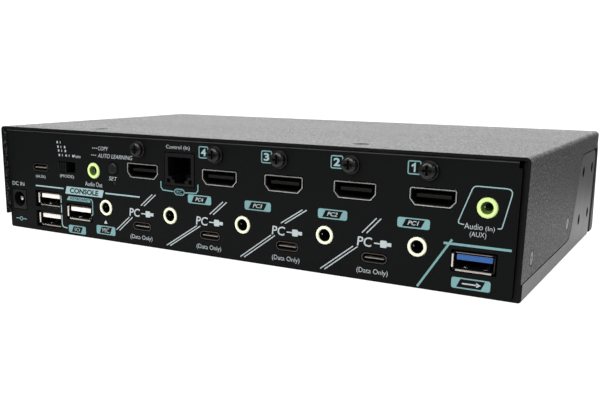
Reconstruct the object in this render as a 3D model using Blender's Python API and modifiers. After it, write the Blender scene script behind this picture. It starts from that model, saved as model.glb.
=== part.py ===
# A four-computer KVM switch, half a rack wide and one unit high: a folded base chassis, a folded top
# cover, a wedge-shaped front bezel, two boards with their port connectors, and its switches and buttons.
#
# Lengths in this file are millimetres, and MM turns them into Blender's metres. Each piece is placed with
# x from the middle, y from the cover's port-side edge and z from the underside of the floor. The empty
# "unit" then stands the whole on its feet, with the origin below the middle. The ports face -Y.

from math import atan2, cos, pi, sin

import bmesh
import bpy
from mathutils import Matrix, Vector

MM = 0.001
GAP = 0.3

# The case.
WIDTH = 220.0
HEIGHT = 44.0
COVER_DEPTH = 127.2
FRONT_REACH = 136.9
FOOT = 2.0
SHEET = 1.0
COVER_BOTTOM = 6.3
PANEL_Y = 1.5
FRONT_WALL_Y = 124.5
WALL_X = 108.6
BAND_GAP = 0.4

# The lock screws stand proudest on the port side.
LOCK_HEAD_Y = -1.1
LOCK_Z = 38.2

# The front face leans back as it rises.
SLANT_RUN = 9.0
SLANT_RISE = 42.0
SLANT = atan2(SLANT_RUN, SLANT_RISE)
BEZEL_WALL = 1.9

# The boards.
BOARD = 1.6
BOARD_Y = 3.7
MAIN_BOARD_Z = 4.5
UPPER_BOARD_Z = 23.6
MAIN_TOP = MAIN_BOARD_Z + BOARD
UPPER_TOP = UPPER_BOARD_Z + BOARD
STANDOFFS = [(x, y) for x in (-94.0, 94.0) for y in (26.0, 104.0)]

# Places on the port panel: x and z of each centre.
HDMI_Z = 29.8
HDMI_X = {"console": -33.8, "4": 1.8, "3": 28.35, "2": 55.0, "1": 81.3}
LOCK_X = {name: x - 1.6 for name, x in HDMI_X.items()}
USB_C_Z = 8.1
USB_C_X = {"4": -34.7, "3": -2.5, "2": 30.2, "1": 62.75}
USB_C = {"aux": (-89.0, 27.5), **{name: (x, USB_C_Z) for name, x in USB_C_X.items()}}
USB_C_SIZE = (9.0, 3.3)
MIC_Z = 13.7
AUDIO_Z = 28.2
MIC_X = {"console": -53.2, "4": -20.9, "3": 11.7, "2": 44.5, "1": 77.1}
AUDIO = {"mic_" + name: (x, MIC_Z) for name, x in MIC_X.items()}
AUDIO.update({"out": (-59.1, AUDIO_Z), "aux": (98.2, AUDIO_Z)})
USB_SIZE = (13.1, 5.8)
USB_WALL = 0.5
USB_STACK_X = -85.8
USB_STACK_Z = (5.6, 14.2)
USB_SINGLE = (-67.7, 10.3)
USB3 = (95.25, 10.95)
CONTROL_X = (-22.8, -9.3)
CONTROL_Z = (25.5, 37.7)
DC_X = (-106.7, -98.7)
DC_Z = (8.6, 17.0)
MODE_SLOT_X = (-78.4, -69.0)
MODE_SLOT_Z = (26.5, 30.8)
SLIDER_LENGTH = 4.6
EDID = (-48.8, 29.8)
EDID_LED = (-48.5, 24.0)
JACK_NOSE_R = 3.15
JACK_HOLE_R = 1.8

# Screws: the cover's, as y and z on each side and as x and y on top, and the rack ears' tapped holes.
SIDE_SCREWS = [(12.3, 12.2), (71.0, 13.5)]
TOP_SCREWS = [(-64.0, 12.3), (52.0, 12.3)]
EAR_HOLES = [(y, z) for y in (96.5, 116.9) for z in (11.0, 30.0)]
SCREW_HOLE_R = 1.6
HEAD_R = 2.35

# The select buttons, from their middle height on the slanted face.
BUTTON_Z = 24.0
BUTTON_X = {"1": 45.0, "2": 15.0, "3": -15.0, "4": -45.0}
BUTTON_SIZE = (14.0, 7.0)
LIGHT_RISE = 8.5

# Finishes: colour, roughness and metallic.
POWDER_COAT = ((0.03, 0.03, 0.032), 0.6, 0.2)
SATIN_BLACK = ((0.02, 0.02, 0.022), 0.4, 0.3)
BLACK_PLASTIC = ((0.015, 0.015, 0.015), 0.45, 0.0)
BLACK_SCREW = ((0.02, 0.02, 0.02), 0.3, 0.8)
NICKEL = ((0.72, 0.68, 0.62), 0.25, 1.0)
STEEL = ((0.6, 0.6, 0.62), 0.3, 1.0)
LIME = ((0.62, 0.85, 0.2), 0.35, 0.0)
CREAM = ((0.88, 0.88, 0.7), 0.35, 0.0)
USB3_BLUE = ((0.02, 0.12, 0.6), 0.35, 0.0)
BOARD_GREEN = ((0.02, 0.18, 0.07), 0.5, 0.0)
RUBBER = ((0.03, 0.03, 0.03), 0.9, 0.0)
GREY_PLASTIC = ((0.35, 0.36, 0.38), 0.5, 0.0)
LIGHT = ((0.8, 0.85, 0.9), 0.2, 0.0)
ALUMINIUM = ((0.75, 0.76, 0.78), 0.35, 1.0)

for old in list(bpy.data.objects):
    bpy.data.objects.remove(old)

parts = bpy.data.collections.new("kvm_switch")
cutters = bpy.data.collections.new("cutters")
bpy.context.scene.collection.children.link(parts)
bpy.context.scene.collection.children.link(cutters)

unit = bpy.data.objects.new("unit", None)
unit.location = Vector((0, -(FRONT_REACH + LOCK_HEAD_Y) / 2, FOOT)) * MM
parts.objects.link(unit)


# --- shapes, each added to a bmesh ---


def add(bm, piece, place):
    """Adds a small bmesh to bm, moved to its place."""
    mesh = bpy.data.meshes.new("shape")
    piece.to_mesh(mesh)
    piece.free()
    mesh.transform(place)
    bm.from_mesh(mesh)
    bpy.data.meshes.remove(mesh)


def box(bm, low, high, place=Matrix()):
    size = [(b - a) * MM for a, b in zip(low, high)]
    middle = Vector([(a + b) / 2 * MM for a, b in zip(low, high)])
    bmesh.ops.create_cube(bm, size=1, matrix=place @ Matrix.Translation(middle) @ Matrix.Diagonal((*size, 1)))


def along(start, axis):
    """The placement whose local z runs along axis from start."""
    turn = Vector((0, 0, 1)).rotation_difference(Vector(axis)).to_matrix().to_4x4()
    return Matrix.Translation(Vector(start) * MM) @ turn


def rod(bm, start, axis, length, radius, end_radius=None, segments=20, place=Matrix()):
    """A cylinder, or a cone where end_radius is given, from start along axis."""
    middle = Matrix.Translation((0, 0, length / 2 * MM))
    bmesh.ops.create_cone(
        bm,
        cap_ends=True,
        segments=segments,
        radius1=radius * MM,
        radius2=(radius if end_radius is None else end_radius) * MM,
        depth=length * MM,
        matrix=place @ along(start, axis) @ middle,
    )


def turned(bm, start, axis, profile, segments=20):
    """A profile of radius and height pairs, from the axis round to the axis, turned about it."""
    piece = bmesh.new()
    verts = [piece.verts.new((r * MM, 0, t * MM)) for r, t in profile]
    edges = [piece.edges.new(pair) for pair in zip(verts, verts[1:])]
    bmesh.ops.spin(
        piece,
        geom=verts + edges,
        cent=(0, 0, 0),
        axis=(0, 0, 1),
        angle=2 * pi,
        steps=segments,
        use_merge=True,
    )
    bmesh.ops.remove_doubles(piece, verts=piece.verts, dist=0.001 * MM)
    bmesh.ops.recalc_face_normals(piece, faces=piece.faces)
    add(bm, piece, along(start, axis))


def prism(bm, outline, start, end, axis="y"):
    """A flat outline of x,z pairs extruded along y, or of y,z pairs extruded along x."""
    curve = bpy.data.curves.new("outline", "CURVE")
    curve.dimensions = "2D"
    curve.fill_mode = "BOTH"
    curve.extrude = (end - start) / 2 * MM
    spline = curve.splines.new("POLY")
    spline.points.add(len(outline) - 1)
    for point, (u, v) in zip(spline.points, outline):
        point.co = (u * MM, v * MM, 0, 1)
    spline.use_cyclic_u = True
    flat = bpy.data.objects.new("outline", curve)
    cutters.objects.link(flat)
    graph = bpy.context.evaluated_depsgraph_get()
    mesh = bpy.data.meshes.new_from_object(flat.evaluated_get(graph))
    piece = bmesh.new()
    piece.from_mesh(mesh)
    bmesh.ops.remove_doubles(piece, verts=piece.verts, dist=0.001 * MM)
    bmesh.ops.recalc_face_normals(piece, faces=piece.faces)
    middle = (start + end) / 2 * MM
    if axis == "y":
        place = Matrix(((1, 0, 0, 0), (0, 0, -1, middle), (0, 1, 0, 0), (0, 0, 0, 1)))
    else:
        place = Matrix(((0, 0, 1, middle), (1, 0, 0, 0), (0, 1, 0, 0), (0, 0, 0, 1)))
    add(bm, piece, place)
    bpy.data.meshes.remove(mesh)
    bpy.data.objects.remove(flat)
    bpy.data.curves.remove(curve)


def shapes(*calls):
    """One bmesh of several shapes, each given as its function and what it takes."""
    bm = bmesh.new()
    for shape, *details in calls:
        shape(bm, *details)
    return bm


def arc(centre, radius, first, last, steps):
    """Points round a centre from one angle to another, in quarter turns."""
    angles = [(first + (last - first) * i / steps) * pi / 2 for i in range(steps + 1)]
    return [(centre[0] + radius * cos(a), centre[1] + radius * sin(a)) for a in angles]


def stadium(centre, width, height, steps=6):
    """A slot with round ends."""
    x, z = centre
    r = height / 2
    reach = width / 2 - r
    return arc((x + reach, z), r, -1, 1, steps) + arc((x - reach, z), r, 1, 3, steps)


# --- objects ---


def new_object(name, bm, collection):
    mesh = bpy.data.meshes.new(name)
    bm.to_mesh(mesh)
    bm.free()
    made = bpy.data.objects.new(name, mesh)
    made.parent = unit
    collection.objects.link(made)
    return made


def finish(made, look):
    colour, roughness, metallic = look
    material = bpy.data.materials.new(made.name)
    material.use_nodes = True
    shader = material.node_tree.nodes["Principled BSDF"]
    shader.inputs["Base Color"].default_value = (*colour, 1)
    shader.inputs["Roughness"].default_value = roughness
    shader.inputs["Metallic"].default_value = metallic
    made.data.materials.append(material)


def part(name, look, body, *steps, smooth=False):
    """A named piece. Each step is "UNION" or "DIFFERENCE" with the shape to join or cut."""
    made = new_object(name, body, parts)
    finish(made, look)
    if smooth:
        made.data.shade_smooth()
        made.data.set_sharp_from_angle(angle=pi / 6)
    for number, (operation, shape) in enumerate(steps):
        helper = new_object(f"{name}_helper_{number}", shape, cutters)
        helper.hide_render = True
        helper.display_type = "WIRE"
        boolean = made.modifiers.new(operation.lower(), "BOOLEAN")
        boolean.operation = operation
        boolean.object = helper
    return made


# --- the case ---


def window_edge(shift_y=0.0, shift_z=0.0):
    """The edge along which the cover's side ends and the rack-ear pad begins, from low to high."""
    edge = [(72.5, COVER_BOTTOM), (77.3, 7.0), (79.9, 9.4), (90.0, 35.6), (92.3, 37.2)]
    return [(y + shift_y, z + shift_z) for y, z in edge]


def countersinks():
    """The cover screws' conical seats, cut from a little outside the sheet to a little inside it."""
    past = 0.2
    deep = SHEET + 2 * past
    mouth = HEAD_R + 0.4 + past
    seats = [((side * (WIDTH / 2 + past), y, z), (-side, 0, 0)) for side in (-1, 1) for y, z in SIDE_SCREWS]
    seats += [((x, y, HEIGHT + past), (0, 0, -1)) for x, y in TOP_SCREWS]
    return shapes(*[(rod, start, axis, deep, mouth, mouth - deep) for start, axis in seats])


def top_cover():
    """An inverted U with rounded bends, open at both ends. Its sides stop short of the rack-ear pads."""
    bend = 1.6
    half = WIDTH / 2
    corner = (half - bend, HEIGHT - bend)
    outer = [(half, COVER_BOTTOM)] + arc(corner, bend, 0, 1, 4)
    inner = arc(corner, bend - SHEET, 1, 0, 4) + [(half - SHEET, COVER_BOTTOM)]
    outline = outer + [(-x, z) for x, z in reversed(outer)]
    outline += [(-x, z) for x, z in reversed(inner)] + inner
    edge = window_edge()
    past = COVER_DEPTH + 10
    window = edge + [(past, edge[-1][1]), (past, 0), (edge[0][0], 0)]
    windows = shapes((prism, window, -WIDTH, -half + 5, "x"), (prism, window, half - 5, WIDTH, "x"))
    body = shapes((prism, outline, 0, COVER_DEPTH))
    part("top_cover", POWDER_COAT, body, ("DIFFERENCE", windows), ("DIFFERENCE", countersinks()))


def panel_openings():
    """Every cut-out of the port panel, each a clearance larger than the connector that it frames."""
    through = (PANEL_Y - 1, PANEL_Y + SHEET + 1)
    deep = through[1] - through[0]
    cuts = []

    def window(x, z, grow=GAP):
        cuts.append((box, (x[0] - grow, through[0], z[0] - grow), (x[1] + grow, through[1], z[1] + grow)))

    def hole(x, z, radius):
        cuts.append((rod, (x, through[0], z), (0, 1, 0), deep, radius))

    window(DC_X, DC_Z)
    window(CONTROL_X, CONTROL_Z)
    window(MODE_SLOT_X, MODE_SLOT_Z, 0)
    width, height = USB_SIZE
    usb = [((USB_STACK_X, z), 0.1) for z in USB_STACK_Z] + [(USB_SINGLE, GAP), (USB3, GAP)]
    for (x, z), grow in usb:
        window((x - width / 2, x + width / 2), (z - height / 2, z + height / 2), grow)
    for name, x in HDMI_X.items():
        cuts.append((prism, hdmi_outline(x, GAP), *through))
        hole(LOCK_X[name], LOCK_Z, 1.8)
    for centre in USB_C.values():
        cuts.append((prism, stadium(centre, *[size + 2 * GAP for size in USB_C_SIZE]), *through))
    for x, z in AUDIO.values():
        hole(x, z, JACK_NOSE_R + GAP)
    hole(*EDID, 2.7)
    hole(*EDID_LED, 1.05)
    return shapes(*cuts)


def base_chassis():
    """A folded tray: floor, port panel, side walls and front wall, with pads flush with the cover."""
    body = bmesh.new()
    box(body, (-WALL_X, PANEL_Y, 0), (WALL_X, FRONT_WALL_Y, HEIGHT - SHEET - GAP))
    top = [face for face in body.faces if face.normal.z > 0.5]
    bmesh.ops.delete(body, geom=top, context="FACES_ONLY")
    pad = [(PANEL_Y, 0), (PANEL_Y, COVER_BOTTOM - BAND_GAP)] + window_edge(0.5, -BAND_GAP)
    pad += arc((118.8, 31.8), 5.0, 1, 0, 4) + [(123.8, 0)]
    inner = WALL_X - SHEET / 2
    pads = [(prism, pad, -WIDTH / 2, -inner, "x"), (prism, pad, inner, WIDTH / 2, "x")]
    flange = (box, (-106, PANEL_Y + SHEET / 2, 41.7), (106, 22, 42.7))
    bosses = [(rod, (x, y, SHEET / 2), (0, 0, 1), MAIN_BOARD_Z - GAP - SHEET / 2, 3.0) for x, y in STANDOFFS]
    holes = [(rod, (-WIDTH, y, z), (1, 0, 0), 2 * WIDTH, SCREW_HOLE_R) for y, z in SIDE_SCREWS + EAR_HOLES]
    holes += [(rod, (x, y, 40), (0, 0, 1), 5, SCREW_HOLE_R) for x, y in TOP_SCREWS]
    holes.append((box, (-11, FRONT_WALL_Y - 3, 29.5), (11, FRONT_WALL_Y + 3, 34.5)))
    made = part(
        "base_chassis",
        SATIN_BLACK,
        body,
        ("UNION", shapes(*pads, *bosses)),
        ("UNION", shapes(flange)),
        ("DIFFERENCE", panel_openings()),
        ("DIFFERENCE", shapes(*holes)),
    )
    shell = made.modifiers.new("shell", "SOLIDIFY")
    shell.thickness = SHEET * MM
    shell.offset = -1
    shell.use_even_offset = True
    made.modifiers.move(len(made.modifiers) - 1, 0)


def front_y(z):
    """Where the slanted front face is at a height."""
    return FRONT_REACH - (z - 2) * SLANT_RUN / SLANT_RISE


def face_frame(x=0.0):
    """The placement on the slanted face at the buttons' height: local y points out, local z up along it."""
    return Matrix.Translation(Vector((x, front_y(BUTTON_Z), BUTTON_Z)) * MM) @ Matrix.Rotation(SLANT, 4, "X")


def front_bezel():
    """A hollow wedge with a narrower neck behind it, pierced for the buttons and their lights."""
    neck_back = FRONT_WALL_Y + GAP
    lip_back = 129.0
    top = HEIGHT - SHEET - GAP
    neck = [(neck_back, GAP), (135.4, GAP), (FRONT_REACH, 2), (front_y(top), top), (neck_back, top)]
    rise = 2 + (FRONT_REACH - lip_back) * SLANT_RISE / SLANT_RUN
    lip = [(lip_back, GAP), (135.4, GAP), (FRONT_REACH, 2), (lip_back, rise)]
    roof = top - BEZEL_WALL
    floor = GAP + BEZEL_WALL
    back = neck_back - 2
    hollow = [
        (back, floor),
        (front_y(floor) - BEZEL_WALL, floor),
        (front_y(roof) - BEZEL_WALL, roof),
        (back, roof),
    ]
    width, height = [size / 2 + GAP for size in BUTTON_SIZE]
    holes = []
    for x in BUTTON_X.values():
        holes.append((box, (-width, -6, -height), (width, 6, height), face_frame(x)))
        holes.append((rod, (0, -4, LIGHT_RISE), (0, 1, 0), 8, 1.5, None, 12, face_frame(x)))
    part(
        "front_bezel",
        BLACK_PLASTIC,
        shapes((prism, lip, -WIDTH / 2, WIDTH / 2, "x")),
        ("UNION", shapes((prism, neck, -107.9, 107.9, "x"))),
        ("DIFFERENCE", shapes((prism, hollow, -105.5, 105.5, "x"))),
        ("DIFFERENCE", shapes(*holes)),
    )


def feet():
    profile = [(0, 0), (6.2, 0), (7, 0.6), (7, FOOT - GAP), (0, FOOT - GAP)]
    places = [(x, y) for x in (-92.0, 92.0) for y in (20.0, 112.0)]
    for number, (x, y) in enumerate(places, 1):
        body = shapes((turned, (x, y, -FOOT), (0, 0, 1), profile))
        part(f"rubber_foot_{number}", RUBBER, body, smooth=True)


def screws():
    lock = [(0, 0), (2.2, 0), (2.75, 0.6), (2.75, 1.8), (3.1, 1.8), (3.1, 2.3), (1.4, 2.3), (1.4, 8), (0, 8)]
    for name, x in LOCK_X.items():
        body = shapes((turned, (x, LOCK_HEAD_Y, LOCK_Z), (0, 1, 0), lock))
        part("hdmi_lock_screw_" + name, BLACK_SCREW, body, smooth=True)
    flush = [(0, 0), (HEAD_R, 0), (HEAD_R - 1.05, 1.05), (1.25, 1.2), (1.25, 3), (0, 3)]
    for side, axis in (("left", 1), ("right", -1)):
        for number, (y, z) in enumerate(SIDE_SCREWS, 1):
            body = shapes((turned, (-axis * WIDTH / 2, y, z), (axis, 0, 0), flush))
            part(f"cover_screw_{side}_{number}", BLACK_SCREW, body, smooth=True)
    for number, (x, y) in enumerate(TOP_SCREWS, 1):
        body = shapes((turned, (x, y, HEIGHT), (0, 0, -1), flush))
        part(f"cover_screw_top_{number}", BLACK_SCREW, body, smooth=True)


# --- boards and what stands on them ---


def boards():
    notch = (box, (-93.0, 0, 0), (-78.6, 19.5, 10))
    body = shapes((box, (-104, BOARD_Y, MAIN_BOARD_Z), (104, 118, MAIN_TOP)))
    part("main_board", BOARD_GREEN, body, ("DIFFERENCE", shapes(notch)))
    notch = (box, (-50, 0, 20), (-47, 8.5, 30))
    body = shapes((box, (-104, BOARD_Y, UPPER_BOARD_Z), (104, 110, UPPER_TOP)))
    part("upper_board", BOARD_GREEN, body, ("DIFFERENCE", shapes(notch)))
    for number, (x, y) in enumerate(STANDOFFS, 1):
        tall = UPPER_BOARD_Z - MAIN_TOP - 2 * GAP
        body = shapes((rod, (x, y, MAIN_TOP + GAP), (0, 0, 1), tall, 2.5, None, 6))
        part(f"standoff_{number}", STEEL, body)
    switches = [(box, (x - 3, 126, 20), (x + 3, 127.0, 26)) for x in BUTTON_X.values()]
    body = shapes((box, (-60, 125.3, 10), (60, 126.5, 38)))
    part("button_board", BOARD_GREEN, body, ("UNION", shapes(*switches)))


def inside():
    low = MAIN_TOP + GAP
    fins = [(box, (x, 50, low + 2), (x + 1.5, 90, low + 13)) for x in range(0, 40, 6)]
    body = shapes((box, (-1, 49, low), (39, 91, low + 3)))
    part("heat_sink", ALUMINIUM, body, ("UNION", shapes(*fins)))
    profile = [(0, 0), (6, 0), (6, 8), (1.2, 8), (1.2, 6), (0, 6)]
    part("buzzer", BLACK_PLASTIC, shapes((turned, (-60, 95, low), (0, 0, 1), profile)), smooth=True)
    route = [(104, 27), (116, 27), (121, 32), (125, 32)]
    strip = [(y, z - 0.4) for y, z in route] + [(y, z + 0.4) for y, z in reversed(route)]
    part("ribbon_cable", GREY_PLASTIC, shapes((prism, strip, -9, 9, "x")))


# --- connectors: each opens towards -Y ---


def hdmi_outline(x, grow=0.0):
    """The wide-topped outline of an HDMI shell, grown or, where grow is negative, shrunk."""
    half = [(7.5 + grow, 2.85 + grow), (7.5 + grow, -0.75), (5.7 + grow / 2, -2.85 - grow)]
    return [(x + u, HDMI_Z + v) for u, v in half] + [(x - u, HDMI_Z + v) for u, v in reversed(half)]


def hdmi_sockets():
    for name, x in HDMI_X.items():
        low = UPPER_TOP + GAP
        part(
            "hdmi_socket_" + name,
            STEEL,
            shapes((prism, hdmi_outline(x), PANEL_Y, 13.5)),
            ("UNION", shapes((box, (x - 5, 3.2, low), (x + 5, 13, HDMI_Z - 2)))),
            ("DIFFERENCE", shapes((prism, hdmi_outline(x, -0.4), 0, 12))),
            ("UNION", shapes((box, (x - 5.6, 2.6, HDMI_Z - 0.35), (x + 5.6, 12.5, HDMI_Z + 0.85)))),
        )


def usb_a(name, look, x, heights, front, rear):
    """A USB-A connector with an opening at each height, its tongue near the top of the opening."""
    width, height = USB_SIZE
    low = heights[0] - height / 2
    high = heights[-1] + height / 2
    body = shapes((box, (x - width / 2, front, low), (x + width / 2, rear, high)))
    openings = []
    tongues = []
    half = width / 2 - USB_WALL
    rise = height / 2 - USB_WALL
    for z in heights:
        openings.append((box, (x - half, 0, z - rise), (x + half, 12, z + rise)))
        tongues.append((box, (x - half + 0.6, front + 0.6, z + 0.2), (x + half - 0.6, 12.5, z + 2.0)))
    part(name, look, body, ("DIFFERENCE", shapes(*openings)), ("UNION", shapes(*tongues)))


def usb_c_sockets():
    for name, centre in USB_C.items():
        x, z = centre
        part(
            "usb_c_socket_" + name,
            NICKEL,
            shapes((prism, stadium(centre, *USB_C_SIZE), PANEL_Y, 9.5)),
            ("DIFFERENCE", shapes((prism, stadium(centre, *[size - 0.6 for size in USB_C_SIZE]), 0, 8.5))),
            ("UNION", shapes((box, (x - 3.3, 2.3, z - 0.35), (x + 3.3, 9, z + 0.35)))),
        )


def audio_jacks():
    """Each jack has a square body on its board and a round nose through the panel."""
    for name, (x, z) in AUDIO.items():
        low = (UPPER_TOP if z == AUDIO_Z else MAIN_TOP) + GAP
        look = LIME if z == AUDIO_Z else CREAM
        part(
            "audio_jack_" + name,
            look,
            shapes((box, (x - 3.7, 2.9, low), (x + 3.7, 14, z + 3.3))),
            ("UNION", shapes((rod, (x, 1.2, z), (0, 1, 0), 2.2, JACK_NOSE_R))),
            ("DIFFERENCE", shapes((rod, (x, 0, z), (0, 1, 0), 12.5, JACK_HOLE_R, None, 16))),
            smooth=True,
        )


def control_jack():
    """The modular socket: a square opening with a notch below for the plug's latch."""
    low_x, high_x = CONTROL_X
    low_z, high_z = CONTROL_Z
    middle = (low_x + high_x) / 2
    opening = (box, (middle - 5.3, 0, low_z + 3.4), (middle + 5.3, 14, high_z - 1.5))
    notch = (box, (middle - 3.2, 0, low_z + 0.9), (middle + 3.2, 9, low_z + 4))
    part(
        "control_jack",
        BLACK_PLASTIC,
        shapes((box, (low_x, PANEL_Y, low_z), (high_x, 17, high_z))),
        ("DIFFERENCE", shapes(opening)),
        ("DIFFERENCE", shapes(notch)),
    )


def dc_jack():
    x = (DC_X[0] + DC_X[1]) / 2
    z = 13.0
    part(
        "dc_jack",
        BLACK_PLASTIC,
        shapes((box, (DC_X[0], PANEL_Y, DC_Z[0]), (DC_X[1], 15, DC_Z[1]))),
        ("DIFFERENCE", shapes((rod, (x, 0, z), (0, 1, 0), 11, 3.2))),
        ("UNION", shapes((rod, (x, 3, z), (0, 1, 0), 9, 0.95, None, 12))),
    )


# --- switches and buttons ---


def mode_switch():
    """A three-position slide switch. The knob rests at its left end."""
    x0, x1 = MODE_SLOT_X
    z0, z1 = MODE_SLOT_Z
    body = shapes((box, (x0 - 1.8, 2.8, UPPER_TOP + GAP), (x1 + 1.8, 7.5, z1 + 1.7)))
    slot = shapes((box, (x0, 0, z0), (x1, 6.4, z1)))
    part("mode_switch_body", BLACK_PLASTIC, body, ("DIFFERENCE", slot))
    knob = shapes((box, (x0 + GAP, 0.9, z0 + GAP), (x0 + GAP + SLIDER_LENGTH, 6.1, z1 - GAP)))
    part("mode_slider", BLACK_PLASTIC, knob)


def edid_switch():
    x, z = EDID
    part("edid_switch_body", BLACK_PLASTIC, shapes((box, (x - 3, 5, UPPER_TOP + GAP), (x + 3, 9, z + 3.3))))
    cap = [(0, 0), (2.1, 0), (2.4, 0.3), (2.4, 2), (2.9, 2), (2.9, 3), (1.2, 3), (1.2, 3.3), (0, 3.3)]
    part("edid_button", BLACK_PLASTIC, shapes((turned, (x, 0.9, z), (0, 1, 0), cap)), smooth=True)
    x, z = EDID_LED
    part("edid_led", LIGHT, shapes((rod, (x, 1.7, z), (0, 1, 0), 5.5, 0.75, None, 12)), smooth=True)


def select_buttons():
    """Each cap stands proud of the slanted face, with a flange and a stem behind it."""
    width, height = [size / 2 for size in BUTTON_SIZE]
    behind = -BEZEL_WALL * cos(SLANT) - GAP
    for name, x in BUTTON_X.items():
        flange = (box, (-width - 1.2, behind - 1, -height - 1.2), (width + 1.2, behind, height + 1.2))
        made = part(
            "select_button_" + name,
            GREY_PLASTIC,
            shapes((box, (-width, behind - 0.5, -height), (width, 1.2, height))),
            ("UNION", shapes(flange)),
            ("UNION", shapes((rod, (0, behind - 1.9, 0), (0, 1, 0), 2, 1.5, None, 12))),
        )
        made.matrix_basis = face_frame(x)
        for modifier in made.modifiers:
            modifier.object.matrix_basis = face_frame(x)


def light_pipe_strip():
    """One clear strip behind the bezel, with a peg through it above each button."""
    behind = -BEZEL_WALL * cos(SLANT) - GAP
    body = shapes((box, (-50, behind - 1, LIGHT_RISE - 1), (50, behind, LIGHT_RISE + 1), face_frame()))
    pegs = [
        (rod, (0, behind - 0.5, LIGHT_RISE), (0, 1, 0), 0.7 - behind, 1.2, None, 12, face_frame(x))
        for x in BUTTON_X.values()
    ]
    part("light_pipe_strip", LIGHT, body, ("UNION", shapes(*pegs)))


base_chassis()
top_cover()
front_bezel()
feet()
screws()
boards()
inside()
hdmi_sockets()
usb_a("usb_socket_console_pair", NICKEL, USB_STACK_X, USB_STACK_Z, PANEL_Y + SHEET + GAP, 18)
usb_a("usb_socket_keyboard", NICKEL, USB_SINGLE[0], USB_SINGLE[1:], PANEL_Y, 16)
usb_a("usb3_socket", USB3_BLUE, USB3[0], USB3[1:], PANEL_Y, 18)
usb_c_sockets()
audio_jacks()
control_jack()
dc_jack()
mode_switch()
edid_switch()
select_buttons()
light_pipe_strip()
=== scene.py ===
# The looks of a four-computer KVM switch: its folded and powder-coated case, the sockets, screws and
# switches of its port panel, its slanted button front and its printed legend. New pieces are modelled
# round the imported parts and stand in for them.

from math import atan2, cos, pi, radians, sin, tan

import bpy
from mathutils import Matrix, Vector


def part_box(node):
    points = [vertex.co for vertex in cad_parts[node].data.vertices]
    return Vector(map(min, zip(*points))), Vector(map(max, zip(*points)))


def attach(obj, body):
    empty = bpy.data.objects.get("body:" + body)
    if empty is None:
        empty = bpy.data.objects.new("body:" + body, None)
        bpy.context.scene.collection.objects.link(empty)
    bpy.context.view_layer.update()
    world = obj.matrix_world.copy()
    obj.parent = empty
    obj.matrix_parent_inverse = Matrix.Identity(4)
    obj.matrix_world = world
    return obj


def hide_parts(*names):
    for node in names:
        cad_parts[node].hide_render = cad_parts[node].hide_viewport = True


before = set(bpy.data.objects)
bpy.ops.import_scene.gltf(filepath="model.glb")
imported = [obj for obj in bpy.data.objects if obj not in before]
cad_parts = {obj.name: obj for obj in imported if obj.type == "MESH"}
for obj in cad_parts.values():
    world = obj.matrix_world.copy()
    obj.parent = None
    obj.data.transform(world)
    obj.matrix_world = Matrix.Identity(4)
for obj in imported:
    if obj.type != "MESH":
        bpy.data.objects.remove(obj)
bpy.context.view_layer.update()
print("loaded", len(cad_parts), "packed parts")

mm = 0.001
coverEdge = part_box("top_cover")[0].y
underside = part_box("base_chassis")[0].z


def at(x, y, z):  # millimetres from the middle, the cover's port-side edge and the underside of the floor
    return Vector((x * mm, coverEdge + y * mm, underside + z * mm))


def span(node):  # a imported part's lowest and highest corners, in the same millimetres
    return [Vector((c.x, c.y - coverEdge, c.z - underside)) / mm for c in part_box(node)]


def near(x, z, low, high):  # two corners given from a middle line at x and z
    return [(x + across, y, z + up) for across, y, up in (low, high)]


def middle(node):
    low, high = span(node)
    return (low + high) / 2


# Flat outlines, as lists of points.

def arc(centre, radius, first, last, steps):  # from one quarter turn to another
    angles = [(first + (last - first) * i / steps) * pi / 2 for i in range(steps + 1)]
    return [(centre[0] + radius * cos(a), centre[1] + radius * sin(a)) for a in angles]


def oblong(low, high):
    return [(low[0], low[1]), (high[0], low[1]), (high[0], high[1]), (low[0], high[1])]


def rounded(points, radius, steps=3):  # each corner becomes a short curve
    curve = []
    for i, point in enumerate(points):
        corner = Vector(point)
        back = Vector(points[i - 1]) - corner
        ahead = Vector(points[(i + 1) % len(points)]) - corner
        reach = min(radius / tan(back.angle(ahead) / 2), back.length * 0.49, ahead.length * 0.49)
        first = corner + back.normalized() * reach
        last = corner + ahead.normalized() * reach
        for step in range(steps + 1):
            t = step / steps
            curve.append(tuple(first * (1 - t) ** 2 + corner * 2 * t * (1 - t) + last * t ** 2))
    return curve


def stadium(x, z, width, height, steps=8):
    r = height / 2
    reach = width / 2 - r
    return arc((x + reach, z), r, -1, 1, steps) + arc((x - reach, z), r, 1, 3, steps)


def stroke(points, width):  # the outline of a bent line, mitred at its corners
    sides = []
    for side in (1, -1):
        for i, point in enumerate(points):
            runs = [Vector(points[j + 1]) - Vector(points[j]) for j in (i - 1, i) if 0 <= j < len(points) - 1]
            across = [Vector((-run.y, run.x)).normalized() for run in runs]
            normal = sum(across, Vector((0, 0))).normalized()
            sides.append(Vector(point) + normal * side * width / 2 / normal.dot(across[0]))
    count = len(points)
    return [tuple(p) for p in sides[:count] + sides[count:][::-1]]


# Modelling steps.

def only(piece):
    bpy.ops.object.select_all(action="DESELECT")
    piece.select_set(True)
    bpy.context.view_layer.objects.active = piece


def named(name):  # the primitive just added, with its place moved into its mesh
    piece = bpy.context.object
    piece.name = piece.data.name = name
    bpy.ops.object.transform_apply(location=True, rotation=True, scale=True)
    return piece


def edit(piece, kind="FACE"):
    only(piece)
    bpy.ops.object.mode_set(mode="EDIT")
    bpy.ops.mesh.select_mode(type=kind)
    bpy.ops.mesh.select_all(action="SELECT")


def closeUp():  # leaves edit mode with every face turned outwards
    bpy.ops.mesh.select_all(action="SELECT")
    bpy.ops.mesh.normals_make_consistent(inside=False)
    bpy.ops.object.mode_set(mode="OBJECT")


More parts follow.
